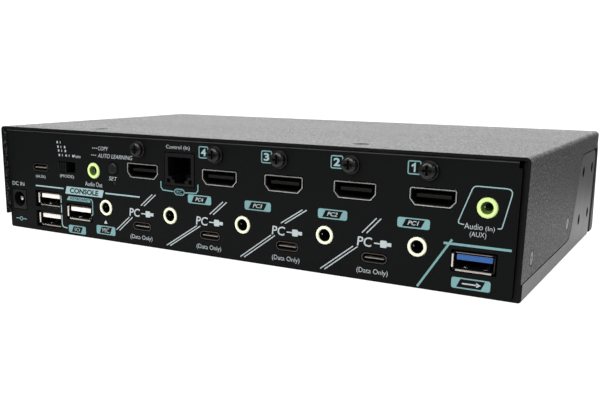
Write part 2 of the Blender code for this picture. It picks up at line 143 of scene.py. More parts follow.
def editEdges(piece, wanted):  # edit mode with only the edges whose two ends pass the test
    edit(piece, "EDGE")
    bpy.ops.mesh.select_all(action="DESELECT")
    bpy.ops.object.mode_set(mode="OBJECT")
    points = piece.data.vertices
    for edge in piece.data.edges:
        edge.select = wanted(*[points[i].co for i in edge.vertices])
    bpy.ops.object.mode_set(mode="EDIT")


def editFaces(piece, wanted):
    edit(piece)
    bpy.ops.mesh.select_all(action="DESELECT")
    bpy.ops.object.mode_set(mode="OBJECT")
    for face in piece.data.polygons:
        face.select = wanted(face)
    bpy.ops.object.mode_set(mode="EDIT")


def addBlock(name, low, high):
    bpy.ops.object.select_all(action="DESELECT")
    low, high = at(*low), at(*high)
    bpy.ops.mesh.primitive_cube_add(size=1, location=(low + high) / 2)
    bpy.context.object.scale = high - low
    return named(name)


def addOutline(name, points, start, end, across="y"):  # x,z points pulled along y, y,z along x or x,y along z
    bpy.ops.object.select_all(action="DESELECT")
    bpy.ops.mesh.primitive_circle_add(vertices=len(points), radius=mm, fill_type="NGON")
    piece = named(name)
    place = "xyz".index(across)
    for vertex, point in zip(piece.data.vertices, points):
        vertex.co = at(*point[:place], start, *point[place:])
    edit(piece)
    pull = Vector([(end - start) * mm * (axis == across) for axis in "xyz"])
    bpy.ops.mesh.extrude_region_move(TRANSFORM_OT_translate={"value": pull})
    closeUp()
    return piece


def addTurned(name, start, axis, rings, sides=32):  # rings of radius and distance, pulled one from the last
    bpy.ops.object.select_all(action="DESELECT")
    axis = Vector(axis)
    start = at(*start)
    radius, along = rings[0]
    bpy.ops.mesh.primitive_circle_add(
        vertices=sides,
        radius=radius * mm,
        fill_type="NGON",
        location=start + axis * along * mm,
        rotation=Vector((0, 0, 1)).rotation_difference(axis).to_euler(),
    )
    piece = named(name)
    edit(piece)
    for (radius, along), (nextRadius, nextAlong) in zip(rings, rings[1:]):
        bpy.ops.mesh.extrude_region_move(TRANSFORM_OT_translate={"value": axis * (nextAlong - along) * mm})
        if nextRadius != radius:
            size = nextRadius / radius
            bpy.ops.transform.resize(value=(size, size, size), center_override=start + axis * nextAlong * mm)
    closeUp()
    return piece


def addRow(name, low, high, count, pitch):  # blocks side by side in one piece
    piece = addBlock(name, low, high)
    row = piece.modifiers.new("row", "ARRAY")
    row.count = count
    row.use_relative_offset = False
    row.use_constant_offset = True
    row.constant_offset_displace = (pitch * mm, 0, 0)
    bpy.ops.object.modifier_apply(modifier=row.name)
    return piece


def moved(piece, place):  # turns and moves a piece, then keeps that in its mesh
    only(piece)
    piece.matrix_world = place
    bpy.ops.object.transform_apply(location=True, rotation=True, scale=True)
    return piece


def copyTo(piece, name, offset):
    only(piece)
    bpy.ops.object.duplicate()
    twin = bpy.context.object
    twin.name = twin.data.name = name
    return moved(twin, Matrix.Translation(Vector(offset) * mm))


def joined(name, pieces):
    only(pieces[0])
    for piece in pieces:
        piece.select_set(True)
    bpy.ops.object.join()
    whole = bpy.context.object
    whole.name = whole.data.name = name
    return whole


def combine(piece, operation, tools):
    tool = joined("tool", tools) if len(tools) > 1 else tools[0]
    only(piece)
    boolean = piece.modifiers.new("combine", "BOOLEAN")
    boolean.operation = operation
    boolean.solver = "EXACT"
    boolean.object = tool
    bpy.ops.object.modifier_apply(modifier=boolean.name)
    bpy.data.objects.remove(tool)
    return piece


def carve(piece, *tools):
    return combine(piece, "DIFFERENCE", tools)


def fuse(piece, *tools):
    return combine(piece, "UNION", tools)


def soften(piece, width, segments=2):
    only(piece)
    bevel = piece.modifiers.new("edges", "BEVEL")
    bevel.width = width * mm
    bevel.segments = segments
    bevel.limit_method = "ANGLE"
    bevel.angle_limit = radians(30)
    bpy.ops.object.modifier_apply(modifier=bevel.name)
    return piece


def paint(piece, look):
    piece.data.materials.clear()
    piece.data.materials.append(finish[look])
    return piece


def paintFaces(piece, look, wanted):  # a second finish on the faces that pass the test
    piece.data.materials.append(finish[look])
    number = len(piece.data.materials) - 1
    for face in piece.data.polygons:
        if wanted(face):
            face.material_index = number


def settle(piece, slot, body, *nodes):  # shades a piece and names its body and the parts it replaces
    only(piece)
    bpy.ops.object.shade_smooth_by_angle(angle=radians(38))
    shading = piece.modifiers.new("shading", "WEIGHTED_NORMAL")
    shading.keep_sharp = True
    bpy.ops.object.modifier_apply(modifier=shading.name)
    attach(piece, body)
    if nodes:
        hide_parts(*nodes)
    return piece


# Surface effects that several finishes share.

def addNode(tree, kind, **values):  # its values go to the sockets of those names
    node = tree.nodes.new("ShaderNode" + kind)
    for label, value in values.items():
        node.inputs[label.replace("_", " ").title()].default_value = value
    return node


def newGroup(name, inputs, outputs):
    group = bpy.data.node_groups.new(name, "ShaderNodeTree")
    for label, value in inputs:
        group.interface.new_socket(label, in_out="INPUT", socket_type="NodeSocketFloat").default_value = value
    for label in outputs:
        group.interface.new_socket(label, in_out="OUTPUT", socket_type="NodeSocketFloat")
    place = addNode(group, "TexCoord")
    return group, group.nodes.new("NodeGroupInput"), place, group.nodes.new("NodeGroupOutput")


def maths(tree, operation, first, second):
    node = addNode(tree, "Math")
    node.operation = operation
    for socket, value in zip(node.inputs, (first, second)):
        if isinstance(value, (int, float)):
            socket.default_value = value
        else:
            tree.links.new(value, socket)
    return node.outputs[0]


def grainGroup():  # a fine uneven skin, as on powder coat and moulded plastic, with soft pale specks as painted glints
    group, given, place, result = newGroup("fineGrain", [("Size", 0.5), ("PaintedGlints", 0.1)], ["Height", "PaintedGlint"])
    scale = maths(group, "DIVIDE", 1000.0, given.outputs["Size"])
    fine = addNode(group, "TexNoise", detail=3.0, roughness=0.65)
    glintNoise = addNode(group, "TexNoise", detail=1.0)
    for texture, size in ((fine, scale), (glintNoise, maths(group, "MULTIPLY", scale, 1.37))):
        group.links.new(place.outputs["Object"], texture.inputs["Vector"])
        group.links.new(size, texture.inputs["Scale"])
    spread = addNode(group, "MapRange")
    least = maths(group, "SUBTRACT", 0.75, maths(group, "MULTIPLY", given.outputs["PaintedGlints"], 0.5))
    group.links.new(glintNoise.outputs["Fac"], spread.inputs["Value"])
    group.links.new(least, spread.inputs["From Min"])
    group.links.new(maths(group, "ADD", least, 0.12), spread.inputs["From Max"])
    group.links.new(spread.outputs["Result"], result.inputs["PaintedGlint"])
    group.links.new(fine.outputs["Fac"], result.inputs["Height"])
    return group


def wearGroup():  # broad soft patches and faint long rubs, from handling
    group, given, place, result = newGroup("handlingMarks", [("Size", 30.0)], ["Patch", "Rub"])
    scale = maths(group, "DIVIDE", 1000.0, given.outputs["Size"])
    patch = addNode(group, "TexNoise", detail=4.0)
    stretch = addNode(group, "Mapping", scale=(0.15, 2.5, 0.6), rotation=(0.3, 0.2, 0.5))
    rub = addNode(group, "TexNoise", detail=6.0)
    group.links.new(place.outputs["Object"], patch.inputs["Vector"])
    group.links.new(place.outputs["Object"], stretch.inputs["Vector"])
    group.links.new(stretch.outputs["Vector"], rub.inputs["Vector"])
    for texture in (patch, rub):
        group.links.new(scale, texture.inputs["Scale"])
    group.links.new(patch.outputs["Fac"], result.inputs["Patch"])
    group.links.new(rub.outputs["Fac"], result.inputs["Rub"])
    return group


fineGrain = grainGroup()
handlingMarks = wearGroup()


def makeFinish(name, look):  # one Principled material with its grain, painted glints and handling marks
    material = bpy.data.materials.new(name)
    material.use_nodes = True
    tree = material.node_tree
    shader = tree.nodes["Principled BSDF"]
    for label, value in (
        ("Metallic", look.get("metallic", 0.0)),
        ("Specular IOR Level", look.get("specular", 0.5)),
        ("Coat Weight", look.get("coat", 0.0)),
        ("Coat Roughness", 0.15),
        ("Transmission Weight", look.get("clear", 0.0)),
    ):
        shader.inputs[label].default_value = value
    grain = tree.nodes.new("ShaderNodeGroup")
    grain.node_tree = fineGrain
    grain.inputs["Size"].default_value = look.get("grain", 0.3)
    grain.inputs["PaintedGlints"].default_value = look.get("paintedGlints", 0.0)
    marks = tree.nodes.new("ShaderNodeGroup")
    marks.node_tree = handlingMarks
    marks.inputs["Size"].default_value = look.get("marks", 25.0)
    colour = Vector(look["colour"])
    spread = look.get("spread", 0.2)

    def mixed(factor, first, second):
        node = addNode(tree, "Mix")
        node.data_type = "RGBA"
        tree.links.new(factor, node.inputs["Factor"])
        for socket, value in ((node.inputs["A"], first), (node.inputs["B"], second)):
            if isinstance(value, Vector):
                socket.default_value = (*value, 1)
            else:
                tree.links.new(value, socket)
        return node.outputs["Result"]

    def ranged(value, low, high):
        node = addNode(tree, "MapRange", from_min=0.25, from_max=0.75, to_min=low, to_max=high)
        tree.links.new(value, node.inputs["Value"])
        return node.outputs["Result"]

    base = mixed(ranged(marks.outputs["Patch"], 0, 1), colour, colour * (1 - spread))
    if "paintedGlints" in look:
        base = mixed(grain.outputs["PaintedGlint"], base, Vector(look["paintedGlintColour"]))
    tree.links.new(base, shader.inputs["Base Color"])
    rough = look["roughness"]
    change = look.get("roughSpread", 0.06)
    tree.links.new(ranged(marks.outputs["Rub"], rough - change, rough + change), shader.inputs["Roughness"])
    bump = addNode(tree, "Bump", distance=look.get("depth", 0.01) * mm)
    tree.links.new(grain.outputs["Height"], bump.inputs["Height"])
    tree.links.new(bump.outputs["Normal"], shader.inputs["Normal"])
    return material


finishes = {
    # the powder coat's pale specks are painted glints
    "powderCoat": {"colour": (0.0035, 0.0035, 0.004), "roughness": 0.4, "grain": 1.15, "depth": 0.6,
                   "roughSpread": 0.02, "paintedGlints": 0.47, "paintedGlintColour": (0.15, 0.15, 0.153)},
    # a near-black laid on edges and in recesses as painted shade
    "paintedShadeBlack": {"colour": (0.003, 0.003, 0.003), "roughness": 0.5, "specular": 0.1, "grain": 0.4,
                "depth": 0.02},
    "satinBlackSteel": {"colour": (0.2, 0.197, 0.196), "roughness": 0.36, "metallic": 0.8, "grain": 0.25,
                        "depth": 0.003, "roughSpread": 0.03},
    "panelBlack": {"colour": (0.0022, 0.0025, 0.0027), "roughness": 0.48, "specular": 0.08, "depth": 0.012,
                   "spread": 0.1},
    # a lighter grey for the panel's top bend, a painted highlight
    "paintedBendHighlight": {"colour": (0.13, 0.13, 0.132), "roughness": 0.4, "specular": 0.6},
    "bezelBlack": {"colour": (0.02, 0.021, 0.022), "roughness": 0.42, "grain": 0.35, "depth": 0.03},
    # black plastic for bodies and tongues, also laid on liners, sleeves and rims as painted shade
    "socketBlackAndPaintedShade": {"colour": (0.003, 0.003, 0.003), "roughness": 0.45, "specular": 0.14, "grain": 0.25},
    "frameBlack": {"colour": (0.005, 0.005, 0.005), "roughness": 0.35, "specular": 0.2, "grain": 0.25},
    "capGrey": {"colour": (0.3, 0.31, 0.33), "roughness": 0.5, "depth": 0.02},
    "footRubber": {"colour": (0.02, 0.02, 0.02), "roughness": 0.85, "specular": 0.3, "grain": 0.6,
                   "depth": 0.05},
    "blackOxide": {"colour": (0.035, 0.034, 0.033), "roughness": 0.17, "metallic": 0.85, "grain": 0.2,
                   "depth": 0.002},
    "wornSteel": {"colour": (0.85, 0.83, 0.82), "roughness": 0.2, "metallic": 1.0, "grain": 0.2,
                  "depth": 0.004},
    "coatedScrew": {"colour": (0.004, 0.004, 0.004), "roughness": 0.6, "specular": 0.2, "depth": 0.02},
    "washerSteel": {"colour": (0.02, 0.02, 0.02), "roughness": 0.2, "metallic": 0.3, "grain": 0.2,
                    "depth": 0.004},
    "brightSteel": {"colour": (0.86, 0.84, 0.8), "roughness": 0.2, "metallic": 1.0, "depth": 0.003},
    "warmNickel": {"colour": (0.92, 0.86, 0.78), "roughness": 0.24, "metallic": 1.0, "depth": 0.003},
    # dark plated metal for the USB-C shells, also laid on the USB-A top and right lips as painted shade
    "darkNickelAndPaintedShade": {"colour": (0.085, 0.068, 0.06), "roughness": 0.26, "metallic": 0.9, "depth": 0.004},
    "tongueGrey": {"colour": (0.22, 0.215, 0.215), "roughness": 0.4},
    "contactGold": {"colour": (0.85, 0.62, 0.28), "roughness": 0.25, "metallic": 1.0, "grain": 0.2,
                    "depth": 0.003},
    # a darkened copy of the contact gold, as painted shade on pins deep in sockets
    "goldInPaintedShade": {"colour": (0.14, 0.11, 0.06), "roughness": 0.35, "metallic": 1.0, "grain": 0.2,
                 "depth": 0.003},
    "paleInsulator": {"colour": (0.92, 0.84, 0.79), "roughness": 0.42, "spread": 0.08},
    "blueInsulator": {"colour": (0.01, 0.088, 0.31), "roughness": 0.4},
    "lime": {"colour": (0.64, 0.83, 0.31), "roughness": 0.32, "spread": 0.05},
    # a darker copy of the lime, as painted shade inside the jacks' bores
    "limeInPaintedShade": {"colour": (0.12, 0.2, 0.035), "roughness": 0.4},
    "cream": {"colour": (0.92, 0.95, 0.7), "roughness": 0.32, "spread": 0.05},
    "whiteInk": {"colour": (0.44, 0.49, 0.5), "roughness": 0.5, "specular": 0.3, "grain": 0.25},
    "tealInk": {"colour": (0.165, 0.325, 0.33), "roughness": 0.5, "specular": 0.3, "grain": 0.25},
    "paleTealInk": {"colour": (0.29, 0.43, 0.44), "roughness": 0.5, "specular": 0.3, "grain": 0.25},
    "blackInk": {"colour": (0.002, 0.008, 0.012), "roughness": 0.5, "specular": 0.1, "grain": 0.25},
    "boardGreen": {"colour": (0.012, 0.12, 0.045), "roughness": 0.4, "grain": 0.8, "depth": 0.02,
                   "coat": 0.3},
    "brushedAluminium": {"colour": (0.72, 0.73, 0.75), "roughness": 0.35, "metallic": 1.0},
    "cableGrey": {"colour": (0.38, 0.38, 0.4), "roughness": 0.5, "grain": 0.4, "depth": 0.02},
    "clearPlastic": {"colour": (0.85, 0.9, 0.94), "roughness": 0.2, "clear": 0.7, "depth": 0.004},
    "smokedPlastic": {"colour": (0.01, 0.01, 0.012), "roughness": 0.2, "specular": 0.3, "depth": 0.004},
}
finish = {name: makeFinish(name, look) for name, look in finishes.items()}
print("finishes:", len(finish))


# The case.

cover = {"sheet": 1.0, "bend": 1.6, "bendSteps": 6, "edge": 0.12, "seat": 2.75}
windowEdge = [(72.5, 6.3), (77.3, 7.0), (79.9, 9.4), (90.0, 35.6), (92.3, 37.2)]


def screwPlaces():  # each cover screw's name, the middle of its head and the way it points
    places = []
    for side, axis in (("left", (1, 0, 0)), ("right", (-1, 0, 0))):
        for number in (1, 2):
            name = f"cover_screw_{side}_{number}"
            low, high = span(name)
            x = low.x if side == "left" else high.x
            places.append((name, (x, (low.y + high.y) / 2, (low.z + high.z) / 2), axis))
    for number in (1, 2):
        name = f"cover_screw_top_{number}"
        low, high = span(name)
        places.append((name, ((low.x + high.x) / 2, (low.y + high.y) / 2, high.z), (0, 0, -1)))
    return places


def makeCover():
    low, high = span("top_cover")
    bend, sheet = cover["bend"], cover["sheet"]
    corner = (high.x - bend, high.z - bend)
    outer = [(high.x, low.z)] + arc(corner, bend, 0, 1, cover["bendSteps"])
    inner = arc(corner, bend - sheet, 1, 0, cover["bendSteps"]) + [(high.x - sheet, low.z)]
    outline = outer + [(-x, z) for x, z in reversed(outer)] + [(-x, z) for x, z in reversed(inner)] + inner
    piece = addOutline("topCover", outline, 0, high.y)
    past = high.y + 10
    window = windowEdge + [(past, windowEdge[-1][1]), (past, -1), (windowEdge[0][0], -1)]
    cuts = [addOutline("cut", window, side * 100, side * 115, "x") for side in (-1, 1)]
    for name, head, axis in screwPlaces():
        cuts.append(addTurned("cut", head, axis, [(cover["seat"] + 0.2, -0.2), (cover["seat"] - 1.2, 1.2)]))
    carve(piece, *cuts)
    paint(soften(piece, cover["edge"]), "powderCoat")
    # the cover's port-side edges and their bevels are painted near-black as painted shade
    paintFaces(piece, "paintedShadeBlack", lambda face: face.normal.y < -0.3)
    settle(piece, "powder_coat", "case", "top_cover")


tray = {"front": 2.6, "wall": 108.6, "wallTop": 42.7, "sheet": 1.0, "frontWall": 124.5, "padEnd": 123.8,
        "padTop": 36.8, "padCorner": 5.0, "bandTop": 5.9, "fold": 1.0, "edge": 0.14, "padShift": (0.5, -0.4),
        "earHoles": [(96.5, 11.0), (96.5, 30.0), (116.9, 11.0), (116.9, 30.0)], "threadRadius": (1.9, 1.65),
        "boss": [(3.4, 0), (3.0, 0.9), (3.0, 3.7)], "pilot": [(1.6, -1), (1.6, 4)],
        "buttonWindow": [(-11, 29.5), (11, 34.5)]}


def threadRings(radius, core, start, end, pitch=0.5):
    rings = []
    for i in range(round((end - start) / pitch)):
        rings += [(core, start + i * pitch), (radius, start + (i + 0.5) * pitch)]
    return rings + [(core, end)]


def makeTray():
    wall, sheet, top = tray["wall"], tray["sheet"], tray["wallTop"]
    outline = [(-wall, 0), (wall, 0), (wall, top), (wall - sheet, top), (wall - sheet, sheet)]
    outline += [(sheet - wall, sheet), (sheet - wall, top), (-wall, top)]
    piece = addOutline("chassisTray", outline, tray["front"], tray["frontWall"])
    frontWall = addBlock(
        "front", (0.5 - wall, tray["frontWall"] - sheet, 0.5), (wall - 0.5, tray["frontWall"], top - 0.3)
    )
    shiftY, shiftZ = tray["padShift"]
    pad = [(tray["front"], 0), (tray["front"], tray["bandTop"])]
    pad += [(y + shiftY, z + shiftZ) for y, z in windowEdge]
    corner = (tray["padEnd"] - tray["padCorner"], tray["padTop"] - tray["padCorner"])
    pad += arc(corner, tray["padCorner"], 1, 0, 6) + [(tray["padEnd"], 0)]
    half = span("base_chassis")[1].x
    sides = []
    for side in (-1, 1):
        sheetSide = addOutline("side", pad, side * (wall - 0.5), side * half, "x")
        editEdges(sheetSide, lambda a, b: (
            max(a.z, b.z) < at(0, 0, 0.1).z and min(abs(a.x), abs(b.x)) > (half - 0.1) * mm))
        bpy.ops.mesh.bevel(offset=tray["fold"] * mm, segments=5, affect="EDGES")
        closeUp()
        sides.append(sheetSide)
    bosses = []
    for n in range(1, 5):
        spot = middle(f"standoff_{n}")
        bosses.append(addTurned("boss", (spot.x, spot.y, 0.5), (0, 0, 1), tray["boss"]))
    fuse(piece, frontWall, *bosses)
    for side in sides:
        fuse(piece, side)
    big, small = tray["threadRadius"]
    holes = []
    for y, z in tray["earHoles"]:
        for side in (-1, 1):
            rings = [(big + 0.35, -0.1), (big, 0.25)] + threadRings(big, small, 0.4, 2.9) + [(small, 3.4)]
            holes.append(addTurned("hole", (side * half, y, z), (-side, 0, 0), rings, 24))
    for name, head, axis in screwPlaces():
        if "top" not in name:
            holes.append(addTurned("hole", head, axis, tray["pilot"], 24))
    holes.append(addOutline("hole", rounded(oblong(*tray["buttonWindow"]), 1.0), 120, 128))
    carve(piece, *holes)
    paint(soften(piece, tray["edge"]), "satinBlackSteel")
    # the tray's front-facing edges are painted near-black as painted shade
    nearFront = at(0, tray["front"] + 0.3, 0).y
    paintFaces(piece, "paintedShadeBlack", lambda face: face.center.y < nearFront and face.normal.y < -0.3)
    # the inside of each threaded ear hole is painted near-black as painted shade
    holeSpots = [at(0, y, z).yz for y, z in tray["earHoles"]]
    paintFaces(piece, "paintedShadeBlack", lambda face: abs(face.center.x) < (half - 0.05) * mm and any(
        (face.center.yz - spot).length < (big + 0.4) * mm for spot in holeSpots))
    settle(piece, "satin_black_metal", "case", "base_chassis")


panel = {"face": 1.5, "sheet": 1.0, "left": -108.6, "right": 107.5, "bottom": 0.5, "top": 42.7, "bend": 0.8,
         "notch": (106.4, 40.6), "flange": (22.0, 41.7, 106.0), "gap": 0.3, "lockHole": 1.8,
         "edge": 0.08}
hdmi = {"wide": (7.5, 2.85), "knee": -0.75, "narrow": (5.7, -2.85), "wall": 0.34, "front": 1.3, "back": 13.5,
        "tongue": [(-5.6, 2.6, -0.3), (5.6, 12.4, 0.8)], "body": (5, 3.4, 13, -3.0), "pitch": 1.0,
        "rows": [((-4.65, 4.2, 0.76), (-4.35, 11, 0.84), 10), ((-4.15, 4.2, -0.34), (-3.85, 11, -0.26), 9)]}
usbC = {"size": (9.0, 3.3), "wall": 0.34, "front": 1.4, "back": 9.5,
        "tongue": [(-3.3, 1.9, -0.36), (3.3, 8.4, 0.34)], "plate": [(-3.35, 1.75, -0.2), (3.35, 8.4, 0.12)],
        "pin": [(-2.9, 2.5, 0), (-2.65, 6.5, 0.1)], "pinRows": (0.28, -0.42), "pitch": 0.5}
usbA = {"size": (13.1, 5.8), "wall": 0.3, "lip": 0.3, "flare": 0.42, "smallFlare": 0.03, "clear": 0.6,
        "depth": 12.4, "stackBack": 14, "fingers": (-3.2, 3.2), "finger": (0.8, 2.5, 8), "fingerLift": 0.35,
        "tongue": (-5.5, 5.6, 0.2, 2.0), "pins": (-4.0, -3.0, 0.08, 0.25), "pitch": 2.33}
jack = {"nose": 3.15, "front": 1.2, "boreEnd": 12.5, "lime": (1.9, 1.6, 2.0), "cream": (2.2, 2.15, 0.5),
        "block": (3.7, 3.0, 14, 3.3)}
portNames = ["console", "4", "3", "2", "1"]
audioNames = ["out", "aux"] + ["mic_" + name for name in portNames]


def hdmiOutline(x, z, grow=0.0):
    (wideX, wideZ), (narrowX, narrowZ) = hdmi["wide"], hdmi["narrow"]
    half = [(wideX + grow, wideZ + grow), (wideX + grow, hdmi["knee"]), (narrowX + grow / 2, narrowZ - grow)]
    mirrored = [(-u, v) for u, v in reversed(half)]
    return rounded([(x + u, z + v) for u, v in half + mirrored], 0.6 + grow)


def hdmiCentre(name):
    low, high = span("hdmi_socket_" + name)
    return (low.x + high.x) / 2, high.z - hdmi["wide"][1]


def audioCentre(name):
    low, high = span("audio_jack_" + name)
    return (low.x + high.x) / 2, high.z - jack["block"][-1]


def boxCentre(node):
    spot = middle(node)
    return spot.x, spot.z


usbPlaces = {"stackLow": (middle("usb_socket_console_pair").x, 5.6),
             "stackHigh": (middle("usb_socket_console_pair").x, 14.2),
             "keyboard": boxCentre("usb_socket_keyboard"),
             "blue": boxCentre("usb3_socket")}
slot = {"low": (-78.4, 26.5), "high": (-69.0, 30.8)}


def makePanel():
    face, back, gap = panel["face"], panel["face"] + panel["sheet"], panel["gap"]
    left, right, bottom, top = panel["left"], panel["right"], panel["bottom"], panel["top"]
    notchX, notchZ = panel["notch"]
    outline = [(left, top)] + [(left + 3 - 3 * sin(a), bottom + 5 - 5 * cos(a)) for a in
                               [pi / 2 * (1 - i / 6) for i in range(7)]]
    outline += [(right - 1.6, bottom)] + arc((right - 1.6, bottom + 1.6), 1.6, 3, 4, 4)[1:]
    outline += [(right, notchZ), (notchX, notchZ), (notchX, top)]
    piece = addOutline("portPanel", outline, face, back)
    limit = at(0, face + 0.05, top - 0.05)
    editEdges(piece, lambda a, b: min(a.z, b.z) > limit.z and max(a.y, b.y) < limit.y)
    bpy.ops.mesh.bevel(offset=panel["bend"] * mm, segments=4, affect="EDGES")
    closeUp()
    reach, under, half = panel["flange"]
    fuse(piece, addBlock("flange", (-half, face + 0.9, under), (half, reach, top)))
    cuts = []

    def opening(points):
        cuts.append(addOutline("cut", points, face - 1, back + 1))

    def hole(centre, radius):
        cuts.append(addTurned("cut", (centre[0], face - 1, centre[1]), (0, 1, 0), [(radius, 0), (radius, 3)]))

    for node in ("dc_jack", "control_jack"):
        low, high = span(node)
        opening(oblong((low.x - gap, low.z - gap), (high.x + gap, high.z + gap)))
    opening(oblong(slot["low"], slot["high"]))
    wide, tall = [size / 2 + usbA["clear"] for size in usbA["size"]]
    for x, z in usbPlaces.values():
        opening(rounded(oblong((x - wide, z - tall), (x + wide, z + tall)), 0.5))
    for name in portNames:
        opening(hdmiOutline(*hdmiCentre(name), gap))
        hole(boxCentre("hdmi_lock_screw_" + name), panel["lockHole"])
    for name in ["aux"] + portNames[1:]:
        opening(stadium(*boxCentre("usb_c_socket_" + name), *[size + 2 * gap for size in usbC["size"]]))
    for name in audioNames:
        hole(audioCentre(name), jack["nose"] + gap)
    hole(boxCentre("edid_button"), 2.7)
    hole(boxCentre("edid_led"), 1.0)
    for name, head, axis in screwPlaces():
        if "top" in name:
            cuts.append(addTurned("cut", head, axis, tray["pilot"], 24))
    carve(piece, *cuts)
    paint(soften(piece, panel["edge"], 1), "panelBlack")
    # the faces of the top bend are painted a lighter grey as a painted highlight
    high = at(0, 0, top - panel["bend"] - 0.05).z
    paintFaces(piece, "paintedBendHighlight", lambda face: (
        face.center.z > high and -0.95 < face.normal.y < -0.2 and face.normal.z > 0.2))
    settle(piece, "satin_black_metal", "case", "base_chassis")


bezel = {"reach": 136.9, "low": 0.3, "knee": (135.4, 2.0), "slant": (9.0, 42.0), "lipBack": 129.0,
         "neckBack": 124.8, "top": 42.7, "neckHalf": 107.9, "wall": 1.9, "edge": 0.4,
         "buttonHeight": 24.0, "lightRise": 8.5, "capHalf": (7.0, 3.5), "capGap": 0.3,
         "hollowHalf": 105.5, "lamp": [(1.5, 0), (1.5, 8)]}
buttonNames = ["1", "2", "3", "4"]


def faceY(z):  # where the slanted face is at a height
    run, rise = bezel["slant"]
    return bezel["reach"] - (z - bezel["knee"][1]) * run / rise


def facePlace(x):  # the placement on the slanted face: local y points out of it, local z up along it
    z = bezel["buttonHeight"]
    tilt = atan2(*bezel["slant"])
    return Matrix.Translation(at(x, faceY(z), z)) @ Matrix.Rotation(tilt, 4, "X")


def onFace(piece, x):  # a piece modelled round at(0, 0, 0), put on the slanted face
    return moved(piece, facePlace(x) @ Matrix.Translation(-at(0, 0, 0)))


def buttonX(name):
    return middle("select_button_" + name).x


def makeBezel():
    (kneeY, kneeZ), low, top, wall = bezel["knee"], bezel["low"], bezel["top"], bezel["wall"]
    reach, lipBack, neckBack = bezel["reach"], bezel["lipBack"], bezel["neckBack"]
    run, rise = bezel["slant"]
    half = span("front_bezel")[1].x
    lipTop = kneeZ + (reach - lipBack) * rise / run
    lip = [(lipBack, low), (kneeY, low), (reach, kneeZ), (lipBack, lipTop)]
    piece = addOutline("frontBezel", lip, -half, half, "x")
    soften(piece, bezel["edge"], 3)
    neck = [(neckBack, low), (kneeY, low), (reach, kneeZ), (faceY(top), top), (neckBack, top)]
    fuse(piece, addOutline("neck", neck, -bezel["neckHalf"], bezel["neckHalf"], "x"))
    floor, roof = low + wall, top - wall
    hollow = [(neckBack - 2, floor), (faceY(floor) - wall, floor)]
    hollow += [(faceY(roof) - wall, roof), (neckBack - 2, roof)]
    cuts = [addOutline("hollow", hollow, -bezel["hollowHalf"], bezel["hollowHalf"], "x")]
    wide, tall = [size + bezel["capGap"] for size in bezel["capHalf"]]
    for name in buttonNames:
        window = addOutline("cut", rounded(oblong((-wide, -tall), (wide, tall)), 0.9), -6, 6)
        cuts.append(onFace(window, buttonX(name)))
        lamp = addTurned("cut", (0, -4, bezel["lightRise"]), (0, 1, 0), bezel["lamp"], 24)
        cuts.append(onFace(lamp, buttonX(name)))
    carve(piece, *cuts)
    settle(paint(piece, "bezelBlack"), "black_plastic", "case", "front_bezel")


foot = {"rings": [(2.2, 0.9), (2.6, 0.12), (2.9, 0.0), (6.0, 0.0), (6.6, 0.15), (7.0, 0.7), (7.0, 1.98)]}


def makeFeet():
    names = [f"rubber_foot_{n}" for n in range(1, 5)]
    start = middle(names[0])
    first = addTurned("rubberFoot1", (start.x, start.y, -2), (0, 0, 1), foot["rings"], 48)
    feet = [paint(first, "footRubber")]
    for n, name in enumerate(names[1:], 2):
        feet.append(copyTo(first, f"rubberFoot{n}", middle(name) - start))
    for piece, name in zip(feet, names):
        settle(piece, "rubber", "case", name)


makeCover()
makeTray()
makePanel()
makeBezel()
makeFeet()
print("case: cover, tray, port panel, bezel and feet")


# Screws.

lockScrew = {"head": [(1.3, 0.0), (2.1, 0.05), (2.5, 0.3), (2.75, 0.75), (2.75, 1.7), (2.6, 1.8)],
             "washer": [(1.5, 1.8), (3.0, 1.8), (3.12, 1.9), (3.12, 2.25), (3.0, 2.35), (1.5, 2.35)],
             "shank": 1.4, "core": 1.15, "end": 8.0, "cross": (0.95, 3.7, 1.3), "crossReach": 2.05}
coverScrew = {"head": [(2.15, 0.02), (2.28, 0.0), (2.35, 0.1), (1.3, 1.1)], "shank": 1.25, "core": 1.05,
              "end": 3.0, "cross": (0.55, 2.6, 0.8)}


def cutCross(piece, start, size):  # a recess that narrows as it deepens, for a screw that points along +y
    wide, long, deep = size
    x, y, z = start
    bars = []
    for across, up in ((long, wide), (wide, long)):
        bar = addBlock("bar", (x - across / 2, y - 0.5, z - up / 2), (x + across / 2, y + deep, z + up / 2))
        editFaces(bar, lambda face: face.normal.y > 0.5)
        bpy.ops.transform.resize(value=(0.55, 1, 0.55), center_override=at(x, y + deep, z))
        closeUp()
        bars.append(bar)
    for bar in bars:
        carve(piece, bar)


def wornCross(piece, start, reach):  # the driver has rubbed the recess's edges bright
    centre = at(*start)

    def rubbed(face):
        out = face.center - centre
        near = Vector((out.x, out.z)).length < reach * mm
        return near and -0.93 < face.normal.y < -0.35 and face.area < 0.4 * mm * mm

    paintFaces(piece, "wornSteel", rubbed)


def makeLockScrews():
    low, high = span("hdmi_lock_screw_console")
    start = ((low.x + high.x) / 2, low.y, (low.z + high.z) / 2)
    rings = lockScrew["head"] + [(lockScrew["shank"], 1.8), (lockScrew["shank"], 2.6)]
    rings += threadRings(lockScrew["shank"], lockScrew["core"], 3.0, lockScrew["end"])
    head = addTurned("head", start, (0, 1, 0), rings, 40)
    cutCross(head, start, lockScrew["cross"])
    paint(soften(head, 0.06, 1), "blackOxide")
    # the cross recess and what lies behind it are painted near-black as painted shade
    centre, reach = at(*start), lockScrew["crossReach"] * mm
    paintFaces(head, "paintedShadeBlack", lambda face: (
        face.center.y > centre.y + 0.12 * mm and (face.center - centre).xz.length < reach))
    washer = paint(addTurned("washer", start, (0, 1, 0), lockScrew["washer"], 40), "washerSteel")
    screws = [joined("lockScrew_console", [head, washer])]
    for name in portNames[1:]:
        offset = middle("hdmi_lock_screw_" + name) - middle("hdmi_lock_screw_console")
        screws.append(copyTo(screws[0], "lockScrew_" + name, offset))
    for piece, name in zip(screws, portNames):
        settle(piece, "black_screw", "case", "hdmi_lock_screw_" + name)


